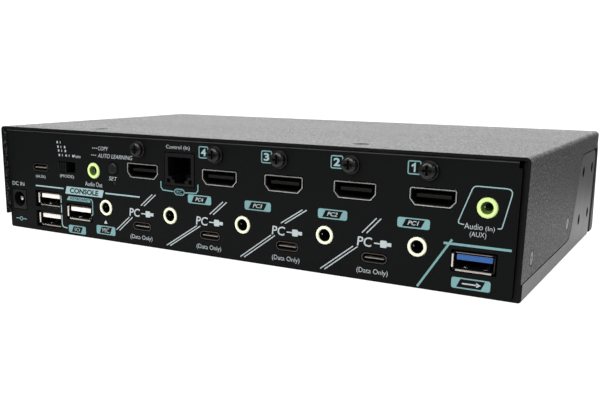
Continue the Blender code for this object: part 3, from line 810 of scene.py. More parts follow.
def makeCoverScrews():
    rings = coverScrew["head"] + [(coverScrew["shank"], 1.2), (coverScrew["shank"], 1.4)]
    rings += threadRings(coverScrew["shank"], coverScrew["core"], 1.5, coverScrew["end"])
    first = addTurned("coverScrew", (0, 0, 0), (0, 1, 0), rings, 40)
    cutCross(first, (0, 0, 0), coverScrew["cross"])
    paint(soften(first, 0.08, 1), "blackOxide")
    wornCross(first, (0, 0, 0), 1.6)
    for name, head, axis in screwPlaces():
        turn = Vector((0, 1, 0)).rotation_difference(Vector(axis)).to_matrix().to_4x4()
        twist = Matrix.Rotation(radians(20 + 37 * len(head) * (head[1] + head[2])), 4, "Y")
        piece = copyTo(first, "screw" + name[len("cover_screw"):], (0, 0, 0))
        if "top" in name:  # these two were never undone
            for place in piece.material_slots:
                place.material = finish["coatedScrew"]
        moved(piece, Matrix.Translation(at(*head)) @ turn @ twist @ Matrix.Translation(-at(0, 0, 0)))
        settle(piece, "black_screw", "case", name)
    bpy.data.objects.remove(first)


makeLockScrews()
makeCoverScrews()
print("screws: 5 with washers beside the video sockets and 6 in the cover")


# Sockets.

def settleCopies(first, prefix, slotName, node, names, centres):  # copies a socket to its other places
    x, z = centres[0]
    pieces = [first]
    for name, (newX, newZ) in zip(names[1:], centres[1:]):
        pieces.append(copyTo(first, prefix + name, (newX - x, 0, newZ - z)))
    for piece, name in zip(pieces, names):
        settle(piece, slotName, "case", node + name)


def makeHdmi():
    x, z = hdmiCentre("console")
    shell = addOutline("shell", hdmiOutline(x, z), hdmi["front"], hdmi["back"])
    carve(shell, addOutline("cut", hdmiOutline(x, z, -hdmi["wall"]), 0, hdmi["back"] - 0.6))
    soften(shell, 0.08, 1)
    paint(shell, "brightSteel")
    outside, inside = [hdmiOutline(x, z, -hdmi["wall"] - less) for less in (0.02, 0.25)]
    # a thin black liner inside the shell, behind its bright mouth, is painted shade
    shadeLiner = addOutline("shadeLiner", outside, hdmi["front"] + 0.5, hdmi["back"] - 0.7)
    carve(shadeLiner, addOutline("cut", inside, 0, 12.0))
    tongue = soften(addBlock("tongue", *near(x, z, *hdmi["tongue"])), 0.15)
    low = span("hdmi_socket_console")[0].z
    half, start, end, under = hdmi["body"]
    body = soften(addBlock("body", (x - half, start, low), (x + half, end, z + under)), 0.2)
    for piece in (shadeLiner, tongue, body):
        paint(piece, "socketBlackAndPaintedShade")
    rows = []
    for *corners, count in hdmi["rows"]:
        row = addRow("pins", *near(x, z, *corners), count, hdmi["pitch"])
        # the contact pins are a darkened gold as painted shade
        rows.append(paint(row, "goldInPaintedShade"))
    first = joined("hdmiSocket_console", [shell, shadeLiner, tongue, body, *rows])
    centres = [hdmiCentre(name) for name in portNames]
    settleCopies(first, "hdmiSocket_", "steel", "hdmi_socket_", portNames, centres)


def usbShell(x, z, front, back, metal):  # a metal tube with flared lips at its mouth and two spring fingers; its top and right lips are a darker metal and its front rim near-black, as painted shade
    wide, tall = [size / 2 for size in usbA["size"]]
    insideX, insideZ = wide - usbA["wall"], tall - usbA["wall"]
    mouth = front + usbA["lip"]
    shell = addOutline("shell", rounded(oblong((x - wide, z - tall), (x + wide, z + tall)), 0.5), mouth, back)
    hollow = rounded(oblong((x - insideX, z - insideZ), (x + insideX, z + insideZ)), 0.3)
    carve(shell, addOutline("cut", hollow, front - 1, back - 0.8))
    lips = []
    for side, flare in ((-1, usbA["flare"]), (1, usbA["smallFlare"])):
        for inside, outside, across in ((insideZ, tall, "x"), (insideX, wide, "z")):
            slant = [(inside, mouth + 0.1), (inside + flare, front), (inside + flare + 0.14, front + 0.05),
                     (outside - 0.1, mouth + 0.1)]
            if across == "x":
                ends = (x - insideX + 0.7, x + insideX - 0.7)
                lip = addOutline("lip", [(y, z + side * r) for r, y in slant], *ends, "x")
            else:
                ends = (z - insideZ + 0.5, z + insideZ - 0.5)
                lip = addOutline("lip", [(x + side * r, y) for r, y in slant], *ends, "z")
            # the top and right lips get the darker metal as painted shade
            lips.append(paint(lip, metal if side < 0 else "darkNickelAndPaintedShade"))
    fingers = []
    half, start, end = usbA["finger"]
    for offset in usbA["fingers"]:
        finger = addBlock("finger", (x + offset - half, mouth + start, z - insideZ - 0.05),
                          (x + offset + half, mouth + end, z - insideZ + 0.12))
        editFaces(finger, lambda face: face.normal.y > 0.5)
        bpy.ops.transform.translate(value=(0, 0, usbA["fingerLift"] * mm))
        closeUp()
        fingers.append(finger)
    fuse(shell, *fingers)
    paint(soften(shell, 0.06, 1), metal)
    # the shell's front rim is painted near-black as painted shade
    rim = at(x, mouth + 0.15, z).y
    paintFaces(shell, "socketBlackAndPaintedShade", lambda face: face.center.y < rim)
    return joined("shell", [shell, *lips])


def usbInside(x, z, front, insulator):  # the tongue high in the opening, its contacts and thin black sheets on the back wall, floor, roof and sides, as painted shade
    wide, tall = [size / 2 - usbA["wall"] for size in usbA["size"]]
    left, right, low, high = x - wide, x + wide, z - tall, z + tall
    start, end = front + usbA["lip"] + 0.4, usbA["depth"]
    x0, x1, z0, z1 = usbA["tongue"]
    tongue = addBlock("tongue", *near(x, z, (x0, front + 0.9, z0), (x1, end + 0.2, z1)))
    paint(soften(tongue, 0.15), insulator)
    # thin black sheets inside the shell, as painted shade
    shadeSheets = [
        addBlock("back", (left + 0.02, end - 0.2, low + 0.02), (right - 0.02, end + 0.8, high - 0.02)),
        addBlock("floor", (left + 0.02, start, low + 0.01), (right - 0.02, end, low + 0.05)),
        addBlock("roof", (left + 0.02, start, high - 0.05), (right - 0.02, end, high - 0.01)),
        addBlock("side", (left + 0.01, start, low + 0.02), (left + 0.05, end, high - 0.02)),
        addBlock("side", (right - 0.05, start, low + 0.02), (right - 0.01, end, high - 0.02)),
    ]
    for piece in shadeSheets:
        paint(piece, "socketBlackAndPaintedShade")
    x0, x1, z0, z1 = usbA["pins"]
    corners = near(x, z, (x0, front + 2.4, z0), (x1, end - 0.4, z1))
    pins = addRow("pins", *corners, 4, usbA["pitch"])
    return [tongue, *shadeSheets, paint(pins, "contactGold")]


def makeUsbA():
    pale, nickel = "paleInsulator", "warmNickel"
    low, high = span("usb_socket_console_pair")
    pieces = []
    for key in ("stackLow", "stackHigh"):
        x, z = usbPlaces[key]
        pieces += [usbShell(x, z, low.y, usbA["stackBack"], nickel), *usbInside(x, z, low.y, pale)]
    housing = addBlock("housing", (low.x, low.y + 0.4, low.z), (high.x, high.y, high.z))
    wide, tall = [size / 2 - 0.05 for size in usbA["size"]]
    for key in ("stackLow", "stackHigh"):
        corners = near(*usbPlaces[key], (-wide, 0, -tall), (wide, usbA["stackBack"] - 0.1, tall))
        carve(housing, addBlock("cut", *corners))
    paint(soften(housing, 0.2), nickel)
    # the housing's port-side faces are painted near-black as painted shade
    paintFaces(housing, "socketBlackAndPaintedShade", lambda face: face.normal.y < -0.3)
    pieces.append(housing)
    settle(joined("usbSocketPair", pieces), "nickel", "case", "usb_socket_console_pair")
    for key, node, name, insulator in (
        ("keyboard", "usb_socket_keyboard", "usbSocketKeyboard", pale),
        ("blue", "usb3_socket", "usbSocketBlue", "blueInsulator"),
    ):
        x, z = usbPlaces[key]
        front, back = [corner.y for corner in span(node)]
        shell = usbShell(x, z, front, back, nickel)
        settle(joined(name, [shell, *usbInside(x, z, front, insulator)]),
               "blue_socket" if key == "blue" else "nickel", "case", node)


def makeUsbC():
    names = ["aux"] + portNames[1:]
    x, z = boxCentre("usb_c_socket_aux")
    width, height = usbC["size"]
    wall = usbC["wall"]
    shell = addOutline("shell", stadium(x, z, width, height), usbC["front"], usbC["back"])
    carve(shell, addOutline("cut", stadium(x, z, width - 2 * wall, height - 2 * wall), 0, 8.7))
    soften(shell, 0.07, 1)
    paint(shell, "darkNickelAndPaintedShade")
    # a thin black liner inside the shell is painted shade
    shadeLiner = addOutline("shadeLiner", stadium(x, z, width - 2 * wall - 0.04, height - 2 * wall - 0.04), 2.4, 8.6)
    inner = stadium(x, z, width - 2 * wall - 0.3, height - 2 * wall - 0.3)
    carve(shadeLiner, addOutline("cut", inner, 0, 8.2))
    tongue = soften(addBlock("tongue", *near(x, z, *usbC["tongue"])), 0.12)
    for piece in (shadeLiner, tongue):
        paint(piece, "socketBlackAndPaintedShade")
    plate = soften(addBlock("plate", *near(x, z, *usbC["plate"])), 0.05, 1)
    paint(plate, "tongueGrey")
    pins = []
    for rise in usbC["pinRows"]:
        row = addRow("pins", *near(x, z + rise, *usbC["pin"]), 12, usbC["pitch"])
        pins.append(paint(row, "contactGold"))
    first = joined("usbCSocket_aux", [shell, shadeLiner, tongue, plate, *pins])
    centres = [boxCentre("usb_c_socket_" + name) for name in names]
    settleCopies(first, "usbCSocket_", "nickel", "usb_c_socket_", names, centres)


def makeAudioJack(x, z, kind):  # its mouth narrows to a throat lined with a dark sleeve as painted shade
    nose, front, end = jack["nose"], jack["front"], jack["boreEnd"]
    mouth, throat, depth = jack[kind]
    rings = [(nose - 0.3, front), (nose, front + 0.3), (nose, 4.0)]
    body = addTurned("nose", (x, 0, z), (0, 1, 0), rings, 40)
    low = span("audio_jack_out")[0].z - audioCentre("out")[1] + z
    half, start, back, rise = jack["block"]
    fuse(body, soften(addBlock("block", (x - half, start, low), (x + half, back, z + rise)), 0.3))
    bore = [(mouth + 0.3, front - 0.2), (mouth, front + 0.2), (throat, front + depth + 0.2), (throat, end)]
    carve(body, addTurned("cut", (x, 0, z), (0, 1, 0), bore, 40))
    inside = throat - 0.03
    shadeSleeve = addTurned("shadeSleeve", (x, 0, z), (0, 1, 0), [(inside, front + depth), (inside, end - 0.1)], 40)
    rings = [(inside - 0.2, 0), (inside - 0.2, end - 1)]
    carve(shadeSleeve, addTurned("cut", (x, 0, z), (0, 1, 0), rings, 40))
    spring = addBlock(
        "spring", (x - throat + 0.15, front + 2.2, z - 0.4), (x - throat + 0.5, front + 3.4, z + 0.25)
    )
    # the sleeve is painted shade: dark green in lime jacks, near-black in cream ones
    paint(shadeSleeve, "limeInPaintedShade" if kind == "lime" else "socketBlackAndPaintedShade")
    paint(soften(spring, 0.12), "brightSteel")
    paint(body, kind)
    # the lime bore behind the mouth is painted a darker green as painted shade
    if kind == "lime":
        middleLine, rim = at(x, 0, z), at(0, front + 0.3, 0).y
        paintFaces(body, "limeInPaintedShade", lambda face: (
            face.center.y > rim and (face.center - middleLine).xz.length < mouth * mm))
    return joined("jack", [body, shadeSleeve, spring])


def makeAudio():
    for names, kind in ((audioNames[:2], "lime"), (audioNames[2:], "cream")):
        centres = [audioCentre(name) for name in names]
        first = makeAudioJack(*centres[0], kind)
        first.name = first.data.name = "audioJack_" + names[0]
        settleCopies(first, "audioJack_", kind + "_plastic", "audio_jack_", names, centres)


# Each opening is its half width, its floor, its roof and its depth.
controlJack = {"front": 1.3, "pins": (3.73, 3.38, 6.5, 12.5, 1.95, 1.7), "pitch": 1.02, "pinDrop": -3.6,
               "openings": [(5.3, 3.4, None, 14), (3.6, 2.2, 3.6, 10), (2.4, 0.8, 2.4, 9)],
               "roof": 1.5, "latch": (5.0, 0.8, 0.9, 2.5, 2.6)}
dcJack = {"height": 13.0, "front": 1.35, "bore": [(3.35, 0.0), (3.2, 1.6), (3.2, 10.9)],
          "pin": [(0.4, 2.6), (0.8, 2.7), (0.95, 3.0), (0.95, 11.2)],
          "contact": [(-3.15, 4.5, -0.7), (-2.75, 10.8, 0.7)]}


def makeControlJack():
    low, high = span("control_jack")
    x = (low.x + high.x) / 2
    body = addOutline("controlJack", oblong((low.x, low.z), (high.x, high.z)), controlJack["front"], high.y)
    for half, floor, roof, depth in controlJack["openings"]:
        ceiling = high.z - controlJack["roof"] if roof is None else low.z + roof
        carve(body, addOutline("cut", oblong((x - half, low.z + floor), (x + half, ceiling)), 0, depth))
    across, half, floor, roof, depth = controlJack["latch"]
    for side in (-1, 1):
        spot = x + side * across
        carve(body, addBlock("cut", (spot - half, 0, low.z + floor), (spot + half, depth, low.z + roof)))
    soften(body, 0.12, 1)
    paint(body, "socketBlackAndPaintedShade")
    left, right, start, end, bottom, top = controlJack["pins"]
    corners = (x - left, start, high.z - bottom), (x - right, end, high.z - top)
    pins = addRow("pins", *corners, 8, controlJack["pitch"])
    editFaces(pins, lambda face: face.normal.y > 0.5)
    bpy.ops.transform.translate(value=(0, 0, controlJack["pinDrop"] * mm))
    closeUp()
    # the pins are a darkened gold as painted shade
    paint(pins, "goldInPaintedShade")
    settle(joined("controlJack", [body, pins]), "black_plastic", "case", "control_jack")


def makeDcJack():
    low, high = span("dc_jack")
    x, z = (low.x + high.x) / 2, dcJack["height"]
    body = addBlock("dcJack", (low.x, dcJack["front"], low.z), high)
    carve(body, addTurned("cut", (x, 0, z), (0, 1, 0), dcJack["bore"], 40))
    paint(soften(body, 0.15), "frameBlack")
    pin = paint(addTurned("pin", (x, 0, z), (0, 1, 0), dcJack["pin"], 24), "brightSteel")
    contact = addBlock("contact", *near(x, z, *dcJack["contact"]))
    paint(soften(contact, 0.1), "brightSteel")
    settle(joined("dcJack", [body, pin, contact]), "black_plastic", "case", "dc_jack")


makeHdmi()
makeUsbA()
makeUsbC()
makeAudio()
makeControlJack()
makeDcJack()
print("sockets: 5 video, 4 USB-A, 5 USB-C, 7 audio, control and power")


# Switches and buttons.

slider = {"ridges": 5}
button = {"rings": [(0.6, 0.0), (1.4, 0.03), (2.0, 0.12), (2.3, 0.35), (2.4, 0.7), (2.4, 2.0),
                    (2.9, 2.0), (2.9, 3.0), (1.2, 3.0), (1.2, 3.3)]}
cap = {"proud": 1.2, "flange": 1.2, "crown": 0.35, "corner": 0.8, "stem": [(1.3, 0), (1.5, 0.2), (1.5, 2)],
       "steps": [(0.08, 0.985, 0.97), (0.1, 0.96, 0.92), (0.1, 0.93, 0.86), (0.07, 0.85, 0.7)],
       "digitHalf": (0.45, 1.1)}


def makeModeSwitch():
    low, high = span("mode_switch_body")
    body = addBlock("modeSwitch", low, high)
    (left, bottom), (right, top) = slot["low"], slot["high"]
    carve(body, addBlock("cut", (left, 0, bottom), (right, 6.4, top)))
    paint(soften(body, 0.15), "socketBlackAndPaintedShade")
    ears = []
    for x in (low.x + 0.2, high.x - 0.2):
        ear = addBlock("ear", (x - 0.2, low.y + 0.3, low.z), (x + 0.2, high.y - 0.3, high.z + 0.05))
        ears.append(paint(soften(ear, 0.05, 1), "brightSteel"))
    settle(joined("modeSwitch", [body, *ears]), "black_plastic", "case", "mode_switch_body")
    low, high = span("mode_slider")
    knob = soften(addBlock("modeSlider", low, high), 0.15)
    pitch = (high.x - low.x) / slider["ridges"]
    grooves = []
    for i in range(1, slider["ridges"]):
        x = low.x + pitch * i
        grooves.append(addBlock("cut", (x - 0.2, low.y - 1, low.z - 1), (x + 0.2, low.y + 0.4, high.z + 1)))
    carve(knob, *grooves)
    settle(paint(knob, "socketBlackAndPaintedShade"), "black_plastic", "mode_slider", "mode_slider")


def makeSetButton():
    low, high = span("edid_button")
    start = ((low.x + high.x) / 2, low.y, (low.z + high.z) / 2)
    piece = addTurned("setButton", start, (0, 1, 0), button["rings"], 40)
    settle(paint(piece, "frameBlack"), "black_plastic", "edid_button", "edid_button")


# Words that fill a box of x and z. They face +y where the first x is above the second.
def addWords(name, words, low, high, y, thick, slant=0.0, heavy=0.0):
    bpy.ops.object.select_all(action="DESELECT")
    bpy.ops.object.text_add()
    text = bpy.context.object
    text.data.body = words
    text.data.size = 3 * mm
    text.data.shear = slant
    text.data.offset = heavy * mm
    text.data.resolution_u = 3
    text.data.extrude = thick / 2 * mm
    bpy.ops.object.convert(target="MESH")
    piece = named(name)
    corners = [Vector(corner) for corner in piece.bound_box]
    least = Vector(map(min, zip(*corners)))
    most = Vector(map(max, zip(*corners)))
    wide = (high[0] - low[0]) * mm / (most.x - least.x)
    tall = (high[1] - low[1]) * mm / (most.y - least.y)
    turn = Matrix(((1, 0, 0, 0), (0, 0, -1, 0), (0, 1, 0, 0), (0, 0, 0, 1)))
    if wide < 0:
        turn = Matrix.Rotation(pi, 4, "Z") @ turn
    centre = at((low[0] + high[0]) / 2, y, (low[1] + high[1]) / 2)
    place = Matrix.Translation(centre) @ turn @ Matrix.Diagonal((abs(wide), tall, 1, 1))
    moved(piece, place @ Matrix.Translation(-(least + most) / 2))
    edit(piece, "VERT")
    bpy.ops.mesh.remove_doubles(threshold=0.0005 * mm)
    closeUp()
    return piece


def makeSelectButtons():
    wide, tall = bezel["capHalf"]
    behind = -bezel["wall"] * cos(atan2(*bezel["slant"])) - 0.3
    outline = rounded(oblong((-wide, -tall), (wide, tall)), cap["corner"], 5)
    first = addOutline("cap", outline, behind - 0.5, cap["proud"] - cap["crown"])
    editFaces(first, lambda face: face.normal.y > 0.5)
    for rise, width, height in cap["steps"]:
        bpy.ops.mesh.extrude_region_move(TRANSFORM_OT_translate={"value": (0, rise * mm, 0)})
        bpy.ops.transform.resize(value=(width, 1, height), center_override=at(0, 0, 0))
    closeUp()
    wide, tall = wide + cap["flange"], tall + cap["flange"]
    fuse(first, addBlock("flange", (-wide, behind - 1, -tall), (wide, behind, tall)))
    stem = addTurned("stem", (0, behind - 1.9, 0), (0, 1, 0), cap["stem"], 24)
    fuse(first, stem)
    paint(first, "capGrey")
    for name in buttonNames:
        piece = copyTo(first, "selectButton_" + name, (0, 0, 0))
        half = cap["digitHalf"][name != "1"]
        digit = addWords("digit", name, (half, -1.5), (-half, 1.5), cap["proud"] + 0.01, 0.06)
        piece = joined("selectButton_" + name, [piece, paint(digit, "whiteInk")])
        onFace(piece, buttonX(name))
        settle(piece, "grey_plastic", "select_button_" + name, "select_button_" + name)
    bpy.data.objects.remove(first)


makeModeSwitch()
makeSetButton()
makeSelectButtons()
print("switches: slide switch, set button and 4 select buttons")


# The printed legend, in thin layers of ink on the panel.

legend = {"thick": 0.05, "line": 0.35}
inkY = panel["face"]


def inkShape(points):
    return addOutline("ink", points, inkY - legend["thick"], inkY)


def inkFrame(points, width):  # a closed outline with an empty middle
    bpy.ops.object.select_all(action="DESELECT")
    bpy.ops.mesh.primitive_circle_add(vertices=len(points), radius=mm, fill_type="NGON")
    piece = named("ink")
    for vertex, (x, z) in zip(piece.data.vertices, points):
        vertex.co = at(x, inkY, z)
    edit(piece)
    bpy.ops.mesh.inset(thickness=width * mm, depth=0)
    bpy.ops.mesh.delete(type="FACE")
    bpy.ops.mesh.select_all(action="SELECT")
    bpy.ops.mesh.extrude_region_move(TRANSFORM_OT_translate={"value": (0, -legend["thick"] * mm, 0)})
    closeUp()
    return piece


def inkLine(points, width=legend["line"]):
    return inkShape(stroke(points, width))


def inkWords(words, low, high, slant=0.0, heavy=-0.025):
    return addWords("ink", words, low, high, inkY - legend["thick"] / 2, 1.1 * legend["thick"], slant, heavy)


def inkFlag(low, high, lean=1.2):  # a filled tag with a leaning bare middle for the words
    tag = inkShape(rounded(oblong(low, high), 0.8))
    edge = 0.4
    left, right, bottom, top = low[0] + 1.6, high[0] - 1.6, low[1] + edge, high[1] - edge
    bare = [(left, bottom), (right - lean, bottom), (right, top), (left + lean, top)]
    return carve(tag, addOutline("cut", bare, 0, 3))


whiteInk, tealInk, paleTealInk, blackInk = [], [], [], []
digitBoxes = {"4": (-7.2, -2.9), "3": (19.4, 23.7), "2": (46.1, 50.6), "1": (72.7, 77.1)}
for number, (x0, x1) in digitBoxes.items():
    tealInk.append(inkFrame(rounded(oblong((x0, 36.5), (x1, 40.9)), 0.7), 0.38))
    if number == "1":
        paleTealInk.append(inkLine([(x0 + 1.3, 39.1), (x0 + 2.3, 39.85), (x0 + 2.3, 37.3)], 0.55))
    else:
        paleTealInk.append(inkWords(number, (x0 + 1.05, 37.35), (x1 - 1.05, 40.05), heavy=0.1))

flagBoxes = {"4": (-12.3, -1.8), "3": (12.7, 23.5), "2": (41.9, 52.7), "1": (70.2, 80.9)}
for number, (x0, x1) in flagBoxes.items():
    tealInk.append(inkFlag((x0, 19.5), (x1, 22.8)))
    whiteInk.append(inkWords("PC" + number, (x0 + 3.4, 20.5), (x1 - 3.5, 21.9), 0.3, 0.03))

diagonals = [
    [(-47.9, 5.3), (-41.0, 11.2)], [(-35.0, 16.3), (-29.2, 21.2)],
    [(-22.6, 2.1), (-8.3, 11.3)], [(-2.5, 16.2), (3.4, 21.3)],
    [(11.0, 2.0), (23.7, 11.4)], [(27.6, 16.1), (36.0, 21.6)],
    [(43.3, 2.0), (55.2, 11.3)], [(58.2, 16.2), (63.1, 21.5)],
]
for line in diagonals:
    whiteInk.append(inkLine(line))
    whiteInk.append(inkLine([(x + 1.6, z) for x, z in line]))

for name in portNames[1:]:  # a plain plug and its lead over each lower socket
    x, z = boxCentre("usb_c_socket_" + name)
    whiteInk.append(inkWords("PC", (x - 6.2, 11.7), (x - 0.9, 14.9), 0.1, 0.03))
    whiteInk.append(inkLine([(x - 0.2, 13.2), (x + 1.9, 13.2)], 0.42))
    whiteInk.append(inkShape(rounded(oblong((x + 1.95, 12.0), (x + 4.2, 14.4)), 0.4)))
    whiteInk.append(inkShape(oblong((x + 4.25, 12.6), (x + 5.8, 13.8))))
    whiteInk.append(inkWords("(Data Only)", (x - 6.0, 2.3), (x + 5.0, 4.5)))

crossing = inkLine([(85.6, 16.1), (106.3, 16.1)], 0.75)
fuse(crossing, inkLine([(88.2, 17.4), (77.9, 1.0)], 0.7))
tealInk.append(crossing)
frameLine = [(91.6, 22.5), (89.5, 22.7), (93.7, 34.5), (105.5, 34.4), (102.9, 22.3), (101.7, 22.3)]
corners = rounded(frameLine, 1.6)[4:-4]  # all but its two ends' corners

for ink, width, points in (
    (paleTealInk, 0.55, [(-92.4, 19.6), (-76.2, 19.6)]),
    (paleTealInk, 0.55, [(-53.2, 19.6), (-35.5, 19.6)]),
    (paleTealInk, 0.32, [frameLine[0], *corners, frameLine[-1]]),
    (paleTealInk, 0.45, [(-77.9, 16.4), (-77.9, 13.4)]),
    (paleTealInk, 0.45, [(-77.9, 12.6), (-77.9, 9.2)]),
    (paleTealInk, 0.45, [(-77.9, 8.4), (-77.9, 4.3), (-77.3, 3.3), (-75.0, 3.0)]),
    (whiteInk, 0.4, [(92.2, 4.0), (97.0, 4.0)]),
    (tealInk, 0.45, [(-62.2, 16.3), (-60.9, 16.3), (-60.3, 15.6), (-60.3, 10.4), (-61.0, 9.6)]),
    (tealInk, 0.4, [(-24.9, 26.7), (-24.9, 24.4), (-24.0, 23.4), (-18.9, 23.2)]),
    (tealInk, 0.4, [(-13.6, 23.2), (-8.6, 23.4), (-7.7, 24.4), (-7.7, 26.7)]),
    (tealInk, 0.4, [(-105.6, 4.3), (-103.5, 4.3)]),
    (tealInk, 0.4, [(-101.3, 4.3), (-99.2, 4.3)]),
):
    ink.append(inkLine(points, width))

for ink, points in (
    (paleTealInk, rounded([(-75.3, 17.6), (-55.0, 17.6), (-54.0, 20.7), (-74.3, 20.7)], 0.3)),
    (whiteInk, [(98.0, 4.0), (96.6, 4.8), (96.6, 3.2)]),
    (tealInk, [(-74.6, 15.0), (-61.4, 15.0), (-61.8, 16.6), (-73.4, 16.6)]),
    (whiteInk, [(-54.4, 7.2), (-52.6, 7.2), (-53.5, 8.6)]),
):
    ink.append(inkShape(points))

for low, high in (((88.8, 2.3), (100.9, 5.8)), ((-74.2, 1.3), (-64.6, 4.6)), ((-58.6, 2.6), (-48.6, 6.2))):
    tealInk.append(inkFlag(low, high))
tealInk.append(inkFrame(stadium(-16.2, 23.2, 4.8, 2.5), 0.32))
tealInk.append(inkFrame(stadium(-102.4, 4.3, 1.9, 1.9), 0.35))
tealInk.append(inkWords("RC", (-17.5, 22.6), (-14.9, 23.8)))
blackInk.append(inkWords("CONSOLE", (-72.6, 18.05), (-56.8, 20.3), 0.1, 0.12))
blackInk.append(inkWords("KEYBOARD", (-72.6, 15.3), (-62.4, 16.4), 0.1, 0.08))

for words, low, high, slant in (
    ("Audio", (91.7, 21.3), (97.3, 23.1), 0),
    ("(In)", (98.1, 20.9), (100.9, 22.7), 0),
    ("(AUX)", (93.5, 18.6), (98.5, 20.6), 0),
    ("IO", (-70.8, 2.2), (-68.0, 3.7), 0),
    ("MIC", (-55.4, 3.5), (-51.9, 5.3), 0),
    ("Control (In)", (-22.1, 38.8), (-11.2, 40.6), 0),
    ("COPY", (-56.2, 36.6), (-50.8, 38.1), 0.25),
    ("AUTO LEARNING", (-56.4, 33.7), (-38.6, 35.3), 0.25),
    ("(AUX)", (-92.0, 22.7), (-86.4, 24.3), 0),
    ("(MODE)", (-77.8, 23.9), (-70.0, 25.5), 0),
    ("SET", (-51.0, 25.0), (-46.7, 26.5), 0.25),
    ("Audio Out", (-63.8, 21.8), (-54.6, 23.6), 0),
    ("Auto", (-69.6, 32.8), (-65.8, 34.1), 0),
    ("DC IN", (-106.6, 18.8), (-99.4, 20.4), 0),
):
    whiteInk.append(inkWords(words, low, high, slant))
for x, z in ((-59.2, 37.3), (-58.2, 37.3), (-57.3, 37.3), (-59.9, 34.5), (-58.9, 34.5), (-57.9, 34.5)):
    whiteInk.append(inkLine([(x, z), (x + 0.55, z)], 0.3))
for row, (z, marks) in enumerate(((38.6, 2), (36.8, 3), (35.2, 3), (33.4, 5))):  # the slide switch's settings
    for column in range(marks):
        x = -78.8 + 1.9 * column + 0.3 * row
        whiteInk.append(inkShape(oblong((x, z - 0.45), (x + (0.3 if column % 2 else 0.7), z + 0.45))))

for name, ink, marks in (("legendWhite", "whiteInk", whiteInk), ("legendTeal", "tealInk", tealInk),
                         ("legendDigits", "paleTealInk", paleTealInk),
                         ("legendDark", "blackInk", blackInk)):
    for mark in marks:
        paint(mark, ink)
    settle(joined(name, marks), None, "case")
print("legend:", len(whiteInk), "white,", len(tealInk), "teal and", len(blackInk), "dark marks")


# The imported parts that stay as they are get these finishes.

keptParts = {"main_board": "boardGreen", "upper_board": "boardGreen", "button_board": "boardGreen",
             "standoff_1": "warmNickel", "standoff_2": "warmNickel", "standoff_3": "warmNickel",
             "standoff_4": "warmNickel", "heat_sink": "brushedAluminium", "buzzer": "frameBlack",
             "ribbon_cable": "cableGrey", "edid_switch_body": "frameBlack", "edid_led": "smokedPlastic",
             "light_pipe_strip": "clearPlastic"}
for node, look in keptParts.items():
    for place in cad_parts[node].material_slots:
        place.material = finish[look]
print("packed parts kept:", len(keptParts))


# The studio.

studio = {"floor": 2.4, "camera": (0.15725, -0.29627, 0.06915), "yaw": 31.318, "pitch": 13.184, "roll": 0.416,
          "lens": 46.265, "shift": (0.0740, 0.0715), "room": 0.46, "white": 1.02,
          "floorFade": (0.12, 0.27), "floorShade": (0.93, 0.12), "floorGlow": (0.85, 1.25)}
lamps = {
    "overhead": {"place": (0.0, 0.2, 0.8), "aim": (0, 0, 0), "size": (0.9, 0.7), "power": 4.0},
    "front": {"place": (-0.25, -1.1, 0.7), "aim": (0, 0, 0.02), "size": (1.2, 0.8), "power": 15.0},
    "behind": {"place": (-1.05, 1.9, 0.42), "aim": (0, 0, 0.04), "size": (2.8, 0.9), "power": 15.0},
    "spark": {"place": (-0.5, -0.9, 0.8), "aim": (0, 0, 0.02), "size": (0.12, 0.12), "power": 1.2},
    "sideSpark": {"place": (0.9, -0.5, 0.6), "aim": (0.1, 0, 0.02), "size": (0.12, 0.12), "power": 1.0},
}


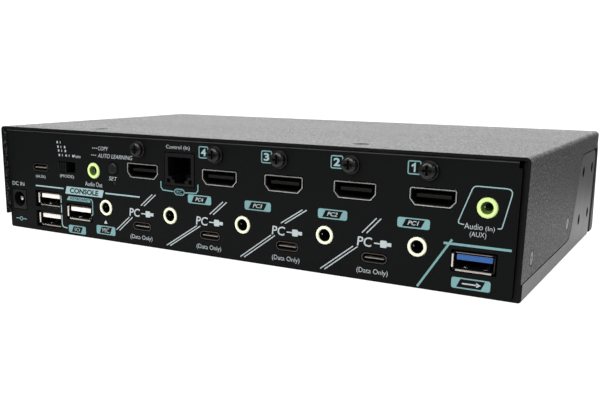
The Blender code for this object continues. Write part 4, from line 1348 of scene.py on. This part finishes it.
def makeFloor():  # near the object it lights the case from below, further out it is a dimmer table
    bpy.ops.object.select_all(action="DESELECT")
    bpy.ops.mesh.primitive_plane_add(size=studio["floor"])
    floor = named("floor")
    material = bpy.data.materials.new("paleFloor")
    material.use_nodes = True
    tree = material.node_tree
    shader = tree.nodes["Principled BSDF"]
    shader.inputs["Roughness"].default_value = 0.9
    shader.inputs["Specular IOR Level"].default_value = 0.1
    near, far = studio["floorShade"]
    place = addNode(tree, "TexCoord")
    reach = addNode(tree, "VectorMath")
    reach.operation = "LENGTH"
    tree.links.new(place.outputs["Object"], reach.inputs[0])
    start, end = studio["floorFade"]
    fade = addNode(tree, "MapRange", from_min=start, from_max=end, to_min=near, to_max=far)
    tree.links.new(reach.outputs["Value"], fade.inputs["Value"])
    rays = addNode(tree, "LightPath")
    seen = rays.outputs["Is Camera Ray"]
    shade = maths(tree, "MAXIMUM", fade.outputs["Result"], maths(tree, "MULTIPLY", seen, near))
    tree.links.new(shade, shader.inputs["Base Color"])
    share, strength = studio["floorGlow"]
    glow = addNode(tree, "Emission", strength=strength)
    either = addNode(tree, "MixShader")
    tree.links.new(maths(tree, "MULTIPLY", seen, share), either.inputs["Fac"])
    tree.links.new(shader.outputs["BSDF"], either.inputs[1])
    tree.links.new(glow.outputs["Emission"], either.inputs[2])
    tree.links.new(either.outputs["Shader"], tree.nodes["Material Output"].inputs["Surface"])
    floor.data.materials.append(material)


def makeWorld():  # an even dim room that is plain white to the camera
    world = bpy.data.worlds.new("studio")
    bpy.context.scene.world = world
    world.use_nodes = True
    tree = world.node_tree
    tree.nodes.clear()
    rays = addNode(tree, "LightPath")
    strength = addNode(tree, "MapRange", to_min=studio["room"], to_max=studio["white"])
    tree.links.new(rays.outputs["Is Camera Ray"], strength.inputs["Value"])
    room = addNode(tree, "Background", color=(1, 1, 1, 1))
    tree.links.new(strength.outputs["Result"], room.inputs["Strength"])
    out = addNode(tree, "OutputWorld")
    tree.links.new(room.outputs["Background"], out.inputs["Surface"])


def makeLamps():
    for name, lamp in lamps.items():
        data = bpy.data.lights.new(name, "AREA")
        data.shape = "RECTANGLE"
        data.size, data.size_y = lamp["size"]
        data.energy = lamp["power"]
        light = bpy.data.objects.new(name, data)
        light.location = lamp["place"]
        ahead = Vector(lamp["aim"]) - Vector(lamp["place"])
        light.rotation_euler = ahead.to_track_quat("-Z", "Y").to_euler()
        bpy.context.scene.collection.objects.link(light)


def makeCamera():
    yaw, pitch, roll = [radians(studio[key]) for key in ("yaw", "pitch", "roll")]
    ahead = Vector((-sin(yaw) * cos(pitch), cos(yaw) * cos(pitch), -sin(pitch)))
    right = Vector((cos(yaw), sin(yaw), 0))
    up = right.cross(ahead)
    right, up = right * cos(roll) + up * sin(roll), up * cos(roll) - right * sin(roll)
    data = bpy.data.cameras.new("camera")
    data.lens = studio["lens"]
    data.sensor_width = 36
    data.shift_x, data.shift_y = studio["shift"]
    data.clip_start = 0.01
    camera = bpy.data.objects.new("camera", data)
    camera.matrix_world = Matrix((right, up, -ahead)).transposed().to_4x4()
    camera.location = studio["camera"]
    bpy.context.scene.collection.objects.link(camera)
    bpy.context.scene.camera = camera


makeFloor()
makeWorld()
makeLamps()
makeCamera()
bpy.context.scene.view_settings.view_transform = "Standard"
print("studio: floor, soft room, lamps and camera")
